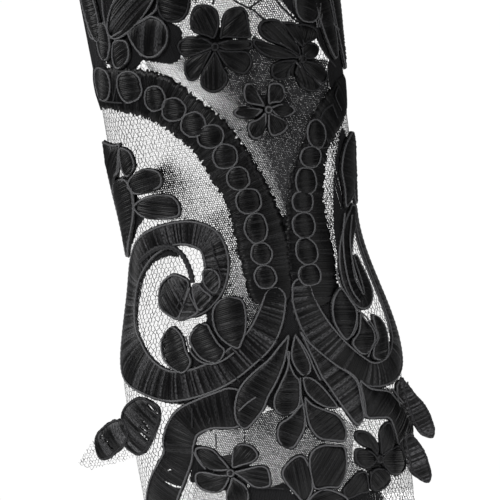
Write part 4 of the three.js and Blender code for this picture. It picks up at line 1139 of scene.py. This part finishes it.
def coverAt(points, tones, reach=3.0):  # blends the tones near each point
    tones = np.array(tones)
    distance = np.linalg.norm(points[:, None] - tones[None, :, :2], axis=2)
    weight = np.exp(-((distance / reach) ** 2)) + 1e-4 / (1 + distance**4)
    return (weight * tones[:, 2]).sum(1) / weight.sum(1)


# the denser net away from the line is painted shade
def coverByLine(points, look, step=0.5):  # lightest along one line, darker away from it
    line = roundOff(look["lightLine"], step, closed=False)
    distance = np.linalg.norm(points[:, None] - line[None], axis=2).min(1)
    spread = look["spread"][0] + look["spread"][1] * np.clip(points[:, 1], 0, None)
    light = np.interp(points[:, 1], look["lightAt"], look["light"])
    return look["dark"] - (look["dark"] - light) * np.exp(-((distance / spread) ** 2))


# A strand is three-sided, so it is not quite as wide as its size. A net seen slantwise looks closer, and
# its strands are made thinner there.
strand = {"off": -0.15, "width": 0.866, "slantDepth": 0.87, "leastFacing": 0.2, "knotWidth": 2.2}


def netPiece(name, starts, ends, place, look, cover):
    spots = np.round(np.vstack([starts, ends]), 4)
    unique, index = np.unique(spots, axis=0, return_inverse=True)
    edges = index.reshape(2, -1).T
    moved = unique + random.normal(0, look["stray"] * look["pitch"], unique.shape)
    points = place(moved[:, 0], moved[:, 1], strand["off"])
    normals = place(moved[:, 0], moved[:, 1], strand["off"] + 1) - points
    share = cover(unique) if callable(cover) else np.full(len(unique), cover)
    width = look["pitch"] * (1 - np.sqrt(1 - share))
    facing = np.clip(np.abs(normals[:, 1]), strand["leastFacing"], 1)
    slant = look["thin"] * strand["slantDepth"] * look["depth"] * np.sqrt(1 - facing**2) / facing
    width /= 0.5 + np.maximum(0.5, slant)
    width *= np.exp(random.normal(0, look["uneven"], len(unique)))
    width *= np.where(random.uniform(0, 1, len(unique)) < look["knots"], strand["knotWidth"], 1)
    wire = wireMesh(points, edges, normals, width / strand["width"])
    tree = closeNetTree if look is closeNet else netTree
    return grownFrom(wire, tree, name, {"Strand Width": mm, "Strand Depth": look["depth"] * mm}, False)


def latticeInside(region, pitch, outlines, holes):
    starts, ends = latticeOn(region, pitch)
    middle = (starts + ends) / 2
    chosen = insideAny(middle, outlines) & ~insideAny(middle, holes)
    chosen &= middle[:, 1] > hemLevel(middle[:, 0])
    return starts[chosen], ends[chosen]


# Grounds of close stitches between the motifs, where the net is closed
grounds = {
    "left_rim": [
        [-43.5, 68.5], [-39.5, 71.5], [-33.8, 68], [-33.4, 60], [-33, 54], [-32.2, 47.5], [-34.5, 43.5],
        [-42, 43.8], [-46, 47.5], [-44.2, 52.5], [-47, 57.5], [-44.6, 62.5], [-46, 66]],
    "right_side": [
        [36, 22.7], [32.1, 17.8], [30.3, 12.3], [29.4, 7.3], [28.7, 1.8], [27.7, -3.8], [27.2, -9.5],
        [27.9, -13.2], [31.9, -9.7], [33.5, -3.2], [38.3, 3], [38.1, 9.4], [39.2, 17]],
    "centre": [
        [10.2, 1.3], [15.3, 0.7], [15.3, -9.6], [14.5, -16.7], [14.8, -22.4], [15.9, -29.3], [20.7, -36.1],
        [27.4, -42.8], [38.1, -46.2], [35.5, -48.5], [25.7, -46.1], [17.8, -43.4], [13.5, -37.6],
        [10, -31.5], [7.7, -29.8], [2.2, -34.1], [-3, -37.1], [-7.8, -40.3], [-10.2, -39.4], [-5.8, -35.7],
        [-0.3, -30.9], [3.8, -26.5], [4.9, -22.5], [4.4, -16.8], [5.3, -8.3]],
    "volute_low": [
        [-25.4, -39.8], [-21.9, -39.2], [-16.6, -38.3], [-12, -37.9], [-6.6, -38.2], [-7, -41.2],
        [-12.4, -40.9], [-16.9, -40.8], [-21.6, -40.8]],
    "arm_left": [
        [-34.6, 66.4], [-18.8, 63.9], [-11.7, 62.7], [-12.5, 58.3], [-9.6, 54.3], [-7.9, 52.5],
        [-8.7, 47.5], [-9.6, 45.4], [-12.3, 44.8], [-16.4, 45.9], [-19.6, 46.7], [-21.1, 45.4],
        [-25.1, 44.4], [-30, 45.3], [-30.3, 46.7], [-32.1, 48], [-31.6, 49.4], [-29.3, 50.2], [-30.2, 52.3],
        [-32.2, 54.2], [-35.4, 52.8], [-34.1, 49.2], [-36.8, 47.5], [-38.1, 51.8]],
    "arm_right": [
        [19.2, 58.4], [41, 57.7], [42.1, 53.7], [44, 47], [45, 43], [44, 35], [45, 31], [38.6, 27.8],
        [33.2, 24.4], [29.6, 21.5], [29.1, 25.2], [29.9, 29.2], [32.4, 33.2], [30.1, 34.3], [31.6, 38.8],
        [32.9, 40.8], [30.6, 42.9], [28.6, 45.6], [27.4, 48.2], [23.3, 50], [21.5, 52.7]],
    "volute_right_inside": [
        [16.4, -15.4], [19.7, -13.8], [22.4, -13.1], [23.9, -15.9], [25.7, -19.8], [27.9, -24.2],
        [29.7, -26.6], [33.3, -28.6], [35, -32.4], [33.9, -36.4], [30.8, -37.6], [26.1, -35.7],
        [22.7, -32.8], [20.2, -28.9], [18.3, -23.4]],
    "leaf_middle": [
        [8.8, -26.7], [10.6, -27.5], [14, -31.5], [18.4, -36], [22.1, -39.9], [24.2, -44.3], [24.4, -50.5],
        [21.5, -51.6], [18.8, -47.6], [16.3, -46.7], [13.3, -46.7], [10.2, -47.3], [9, -45.1], [6.8, -46.8],
        [3.8, -47.3], [1.7, -45.5], [-0.1, -44.2], [-2.3, -45.9], [-5.4, -47.5], [-6.9, -44.2], [-6, -40.8],
        [-2.6, -37.2], [1.7, -34.3], [5.6, -30.8]],
    "volute_left_foot": [
        [-12, -18.6], [-9.6, -15.9], [-7.5, -16.2], [-10.4, -18.9], [-10.3, -23.4], [-7.7, -27.3],
        [-4.3, -28.3], [-6.6, -30.5], [-10.7, -32], [-15.8, -32.8], [-20, -32.8], [-20.7, -29.6],
        [-16.9, -27.6], [-17.2, -24.5], [-14.9, -21.8], [-12.2, -21.1]],
    "scroll_foot": [
        [2.6, -7.9], [3.3, -13.6], [6.7, -15.6], [9.8, -18.6], [9.6, -25], [11.9, -25.1], [12.3, -19],
        [14.2, -15.6], [13.3, -9.3], [12.8, -3.6], [8.9, -3.1]],
    "left_edge": [
        [-44, 17], [-36.2, 18.3], [-30.4, 17.8], [-29.7, 13], [-28.2, 8.2], [-32.8, 5], [-38.2, 1.2],
        [-40.8, 6], [-44, 11]],
    "hem_left": [
        [-19.2, -51.8], [-16.9, -52.8], [-15.4, -56.6], [-15.8, -59.3], [-19.4, -60.7], [-21.8, -60.7],
        [-21, -57.2], [-20.1, -54]],
    "hem_right": [
        [32.3, -52.2], [37.2, -54.3], [43, -57], [39.1, -61.7], [35.3, -65.9], [31.7, -66.7], [30.2, -61.8],
        [32.2, -57.8], [32.4, -54.7]],
    "hem_low": [
        [-6.7, -63.8], [-1.4, -64.8], [1.6, -64.2], [4, -67.7], [7.9, -67.8], [12.5, -67.5], [17.2, -70.3],
        [22.8, -69.6], [26.8, -70.8], [24.9, -75.1], [11.4, -74.9], [-0.4, -71.6], [-6.9, -69.1]],
    "fringe": [
        [-36.1, -20.7], [-36.3, -13.1], [-34.5, -6.7], [-30, -3.5], [-24.9, -1.9], [-20.2, -1.7],
        [-18.9, -3.6], [-22.7, -3.2], [-27.4, -4.2], [-31.2, -6.7], [-33.4, -10.8], [-34.3, -16.3],
        [-33.2, -22.9]],
}

# Regions of closer net, and how much of the net its thread covers from place to place. In the V the net
# grows denser away from its light line, a darker net standing in for shade: painted shade.
nets = {
    "netVee": {
        "outline": [
            [-19.5, 47.2], [-8.6, 45.5], [-9.1, 48.6], [-0.1, 48.8], [9.1, 47.5], [10.3, 48.9],
            [11.4, 44.7], [21.5, 41.6], [33.8, 40.3], [32.7, 30.1], [25.9, 27.5], [20.2, 18.3],
            [13.5, -2.7], [10.3, -1.8], [7.2, 12.3], [2.1, 25.2], [-6.5, 36.5], [-17.6, 42.8]],
        "lightLine": [
            [-16, 47], [-9.5, 39], [-4.5, 35.5], [0, 31.3], [3, 26.5], [6, 20.5], [8.6, 13.8], [10.6, 7.3],
            [12, 0], [12.6, -5]],
        "lightAt": [0, 9, 30, 41], "light": [0.55, 0.78, 0.8, 0.34], "dark": 0.965, "spread": [1.0, 0.06]},
    "netFoot": {
        "outline": [
            [-2, -6.3], [0.7, -6.6], [3.1, -15.1], [6.1, -15.5], [5, -19], [2, -22.1], [-1.6, -26.7],
            [-3.8, -28.1], [-2, -20], [-2.1, -16.4], [-4.8, -15.1], [-3.3, -11.7]],
        "tones": [
            [-1.3, -8.9, 0.62], [-3.4, -12.7, 0.72], [-0.6, -13.1, 0.72], [0.3, -16.3, 0.84],
            [2.7, -17.6, 0.9], [1.2, -20.5, 0.93], [-1.9, -24.6, 0.93]]},
    "netHem": {
        "outline": [
            [-19, -47.7], [-7.9, -48.1], [-6.2, -49.4], [-1.3, -46], [2.2, -45], [3.8, -47.3], [8.9, -44.5],
            [10.2, -47.8], [12.8, -46.7], [16.4, -46.2], [19.9, -51.3], [23.6, -52.4], [21.1, -54.1],
            [19.6, -61], [23.9, -65.7], [15.7, -71.8], [-2.5, -69], [-22.3, -65.2], [-20.6, -57.8]],
        "tones": [
            [-14.5, -51, 0.6], [-10.5, -52.5, 0.68], [-7.5, -50.5, 0.8], [-2, -48.5, 0.89],
            [-4, -53.5, 0.8], [-3, -57.5, 0.76], [0.5, -59.5, 0.75], [4, -56.5, 0.8], [7, -55.5, 0.86],
            [9, -52, 0.89], [17.5, -49, 0.66], [18.5, -54, 0.72], [18.5, -58.5, 0.78],
            [-19.5, -64.5, 0.45]]},
}
# How much the front net covers at points x, y. The dense patch right of the left flower, near -17, 15, is a
# painted shadow beside its petals; elsewhere the cover sets how open the net is.
windowCoverAndShade = [
    [-36, 34, 0.24], [-26, 31, 0.2], [-21, 25, 0.2], [-12, 19, 0.25], [-8, 12, 0.4], [-5, 0, 0.62],
    [-3, -7, 0.68], [-3, -14, 0.76], [-17, 15, 0.86], [-13.5, 15, 0.56], [-10.5, 16, 0.36], [-16, 10, 0.5],
    [-23, -6, 0.13], [-28, -14, 0.1], [-28, -26, 0.1], [-17.5, -22, 0.2], [-15.5, -7, 0.06], [5, 57, 0.45],
    [13, 55, 0.6], [10, 51, 0.62], [29.5, 41.5, 0.08], [38, 26.5, 0.5], [28, 13.8, 0.4], [26.5, 5, 0.42],
    [24.5, -3.7, 0.5], [34.8, 19.7, 0.85], [32.7, 14.7, 0.85], [30, 4.7, 0.88], [28, -2.8, 0.85],
    [33.5, -8.5, 0.1], [29.5, -24.5, 0.14], [37, -22, 0.1], [26, -53, 0.3], [-28.5, 6, 0.1],
    [-28.5, -52, 0.08], [-34.5, -62, 0.08], [-19, -63.5, 0.25], [29.5, -70, 0.4], [-30.5, 48.5, 0.05],
    [-24.5, -41.5, 0.05]]

frill = {
    "pitch": 0.8, "depth": 1.5, "cover": 0.17, "stray": 0.12, "uneven": 0.35, "knots": 0.05, "thin": 0,
    "region": (-55, -25, -60, -38),
    "outline": [
        [-29.5, -41], [-38, -42], [-46, -47], [-51, -52.5], [-48, -54.5], [-39.5, -53.5], [-31.5, -51],
        [-28, -46]],
}

# The net's plain part goes round the back; what shows between the motifs on the front is finer
plainNet = {"pitch": 1.3, "cover": 0.1, "depth": 4.0, "stray": 0.14, "uneven": 0.1, "knots": 0, "thin": 0.15}
frontNet = {"pitch": 0.62, "depth": 1.3, "reach": 46, "stray": 0.1, "uneven": 0.14, "knots": 0.02, "thin": 1}
closeNet = {"pitch": 0.5, "depth": 0.5, "stray": 0.08, "uneven": 0.13, "knots": 0, "thin": 1}
netSpan = {"low": -82, "high": 79, "closeHigh": 75, "seam": 90.7}
laceEdge = {"step": 0.5, "inset": 0.5, "bandStep": 0.8, "bandInset": 0.9}


def tallBox(x0, x1):  # a box that is taller than the net
    low, high = netSpan["low"] - 3, netSpan["high"] + 1
    return [[x0, low], [x1, low], [x1, high], [x0, high]]


def coverOf(region):
    if "tones" in region:
        return lambda points: coverAt(points, region["tones"])
    return lambda points: coverByLine(points, region)


lacePetals = [points for outlines in [*drawnPetals.values(), voluteCurl] for points in outlines]
lacePetals += [eggOutline(row) for row in eggPetals.values()]
solidLace = [inset(roundOff(points, laceEdge["step"]), laceEdge["inset"]) for points in lacePetals]
bandLines = [bandLine(rows, laceEdge["bandStep"]) for rows in bands.values()]
solidLace += [outlineOf(line, laceEdge["bandInset"]) for line in bandLines]
closed = solidLace + list(grounds.values())
closeRegions = [look["outline"] for look in nets.values()]
netPieces = {}
reach = frontNet["reach"]
for name, x0, x1 in (("netFrontLeft", -reach, 0), ("netFrontRight", 0, reach)):
    region = (x0, x1, netSpan["low"], netSpan["high"])
    starts, ends = latticeInside(region, frontNet["pitch"], [tallBox(x0, x1)], closed + closeRegions)
    windowCover = coverOf({"tones": windowCoverAndShade})
    netPieces[name] = netPiece(name, starts, ends, onSleeve, frontNet, windowCover)
for name, look in nets.items():
    region = (-reach, reach, netSpan["low"], netSpan["closeHigh"])
    starts, ends = latticeInside(region, closeNet["pitch"], [look["outline"]], closed)
    netPieces[name] = netPiece(name, starts, ends, onSleeve, closeNet, coverOf(look))
around = [tallBox(-halfRound - 2, -reach), tallBox(reach, halfRound + 2)]
region = (-netSpan["seam"], netSpan["seam"], netSpan["low"], netSpan["high"])
starts, ends = latticeInside(region, plainNet["pitch"], around, [])
netPieces["netSleeve"] = netPiece("netSleeve", starts, ends, onSleeve, plainNet, plainNet["cover"])
starts, ends = latticeOn(frill["region"], frill["pitch"])
mask = insideOutline((starts + ends) / 2, frill["outline"])
netPieces["sideFrill"] = netPiece("sideFrill", starts[mask], ends[mask], onFlap, frill, frill["cover"])
for name, piece in netPieces.items():
    settle(piece, "net", "side_frill" if name == "sideFrill" else "net_sleeve")
    area = sum(polygon.area for polygon in piece.data.polygons)
    count = sum(len(polygon.vertices) - 2 for polygon in piece.data.polygons)
    print(name, "triangles", count, "thread surface mm2", round(area * 1e6))


# Grounds: threads laid side by side across each outline, with the degrees that they lean
ground = {"spacing": 0.4, "width": 0.62, "depth": 0.45, "step": 1.6, "ragged": 0.35, "off": 0.02,
          "uneven": 0.08, "first": 0.1, "outlineStep": 0.5}
groundTurns = {"arm_left": 15, "arm_right": 0, "volute_right_inside": 60, "leaf_middle": 80,
               "volute_left_foot": 40, "scroll_foot": 90, "left_edge": 90, "hem_left": 0, "hem_right": 60,
               "hem_low": 0, "fringe": 45, "centre": 35, "left_rim": 0, "right_side": 20, "volute_low": 10}
points, edges, start = [], [], 0
for name, outline in grounds.items():
    outline = roundOff(outline, ground["outlineStep"])
    turn = math.radians(groundTurns[name])
    axis = np.array([math.cos(turn), math.sin(turn)])
    side = np.array([-axis[1], axis[0]])
    levels = outline @ axis
    for level in np.arange(levels.min() + ground["first"], levels.max(), ground["spacing"]):
        hits = crossings(outline, axis, level)
        for low, high in zip(hits[::2], hits[1::2]):
            low, high = low - random.uniform(0, ground["ragged"]), high + random.uniform(0, ground["ragged"])
            count = max(2, round((high - low) / ground["step"]) + 1)
            v = np.linspace(low, high, count)[:, None]
            flat = level * axis + v * side
            off = ground["off"] + random.uniform(0, ground["uneven"])
            points.append(onSleeve(flat[:, 0], flat[:, 1], off))
            index = start + np.arange(count)
            edges.append(np.stack([index[:-1], index[1:]], 1))
            start += count
points, edges = np.vstack(points), np.vstack(edges)
wire = wireMesh(points, edges, outwardOf(points), np.full(len(points), ground["width"]))
inputs = {"Strand Width": mm, "Strand Depth": ground["depth"] * mm}
piece = grownFrom(wire, groundTree, "stitchedGround", inputs, True)
settle(piece, "satin")
print("ground threads:", len(points))

# Camera, light and backdrop
view = {"distance": 1.0, "height": 0.129, "centre": (0.001417, -0.00471), "roll": 8.07}
camera = bpy.data.objects.new("camera", bpy.data.cameras.new("camera"))
bpy.context.scene.collection.objects.link(camera)
bpy.context.scene.camera = camera
camera.data.sensor_fit = "HORIZONTAL"
camera.data.angle = 2 * math.atan(view["height"] / 2 / view["distance"])
camera.data.clip_end = 20
roll = math.radians(view["roll"])
right = (math.cos(roll), 0, -math.sin(roll))
up = (math.sin(roll), 0, math.cos(roll))
turned = Matrix((right, up, (0, -1, 0))).transposed().to_4x4()
turned.translation = (view["centre"][0], -view["distance"], view["centre"][1])
camera.matrix_world = turned

studio = {"worldSeen": 1.02, "worldLight": 0.14, "floorLevel": -0.0825, "floorHalf": 0.16, "floorGlow": 0.97}
world = bpy.data.worlds.new("studio")
world.use_nodes = True
nodes, links = world.node_tree.nodes, world.node_tree.links
nodes["Background"].inputs["Color"].default_value = (1, 1, 1, 1)
seen = nodes.new("ShaderNodeLightPath").outputs["Is Camera Ray"]
strength = mapRange(nodes, links, seen, studio["worldLight"], studio["worldSeen"])
links.new(strength, nodes["Background"].inputs["Strength"])
bpy.context.scene.world = world
bpy.context.scene.view_settings.view_transform = "Standard"

lamps = {"key": {"at": (-0.5, -0.7, 0.6), "size": 0.5, "power": 9.0},
         "fill": {"at": (0.7, -0.6, 0.1), "size": 0.6, "power": 2.2},
         "rim": {"at": (-0.6, 0.1, 0.3), "size": 0.4, "power": 2.2}}
for name, look in lamps.items():
    lamp = bpy.data.objects.new(name, bpy.data.lights.new(name, "AREA"))
    lamp.data.energy = look["power"]
    lamp.data.size = look["size"]
    lamp.location = look["at"]
    lamp.rotation_euler = (-lamp.location).to_track_quat("-Z", "Y").to_euler()
    bpy.context.scene.collection.objects.link(lamp)

corners = [(x * studio["floorHalf"], y * studio["floorHalf"], studio["floorLevel"]) for x, y in
           ((-1, -1), (1, -1), (1, 1), (-1, 1))]
backdrop = meshObject("backdrop", corners, [(0, 1, 2, 3)])
paper, nodes, links, shader = newMaterial("palePaper")
paperLook = {"Base Color": (0.85, 0.85, 0.85, 1), "Roughness": 0.9, "Specular IOR Level": 0.1,
             "Emission Color": (1, 1, 1, 1), "Emission Strength": studio["floorGlow"]}
for socket, value in paperLook.items():
    shader.inputs[socket].default_value = value
backdrop.data.materials.append(paper)
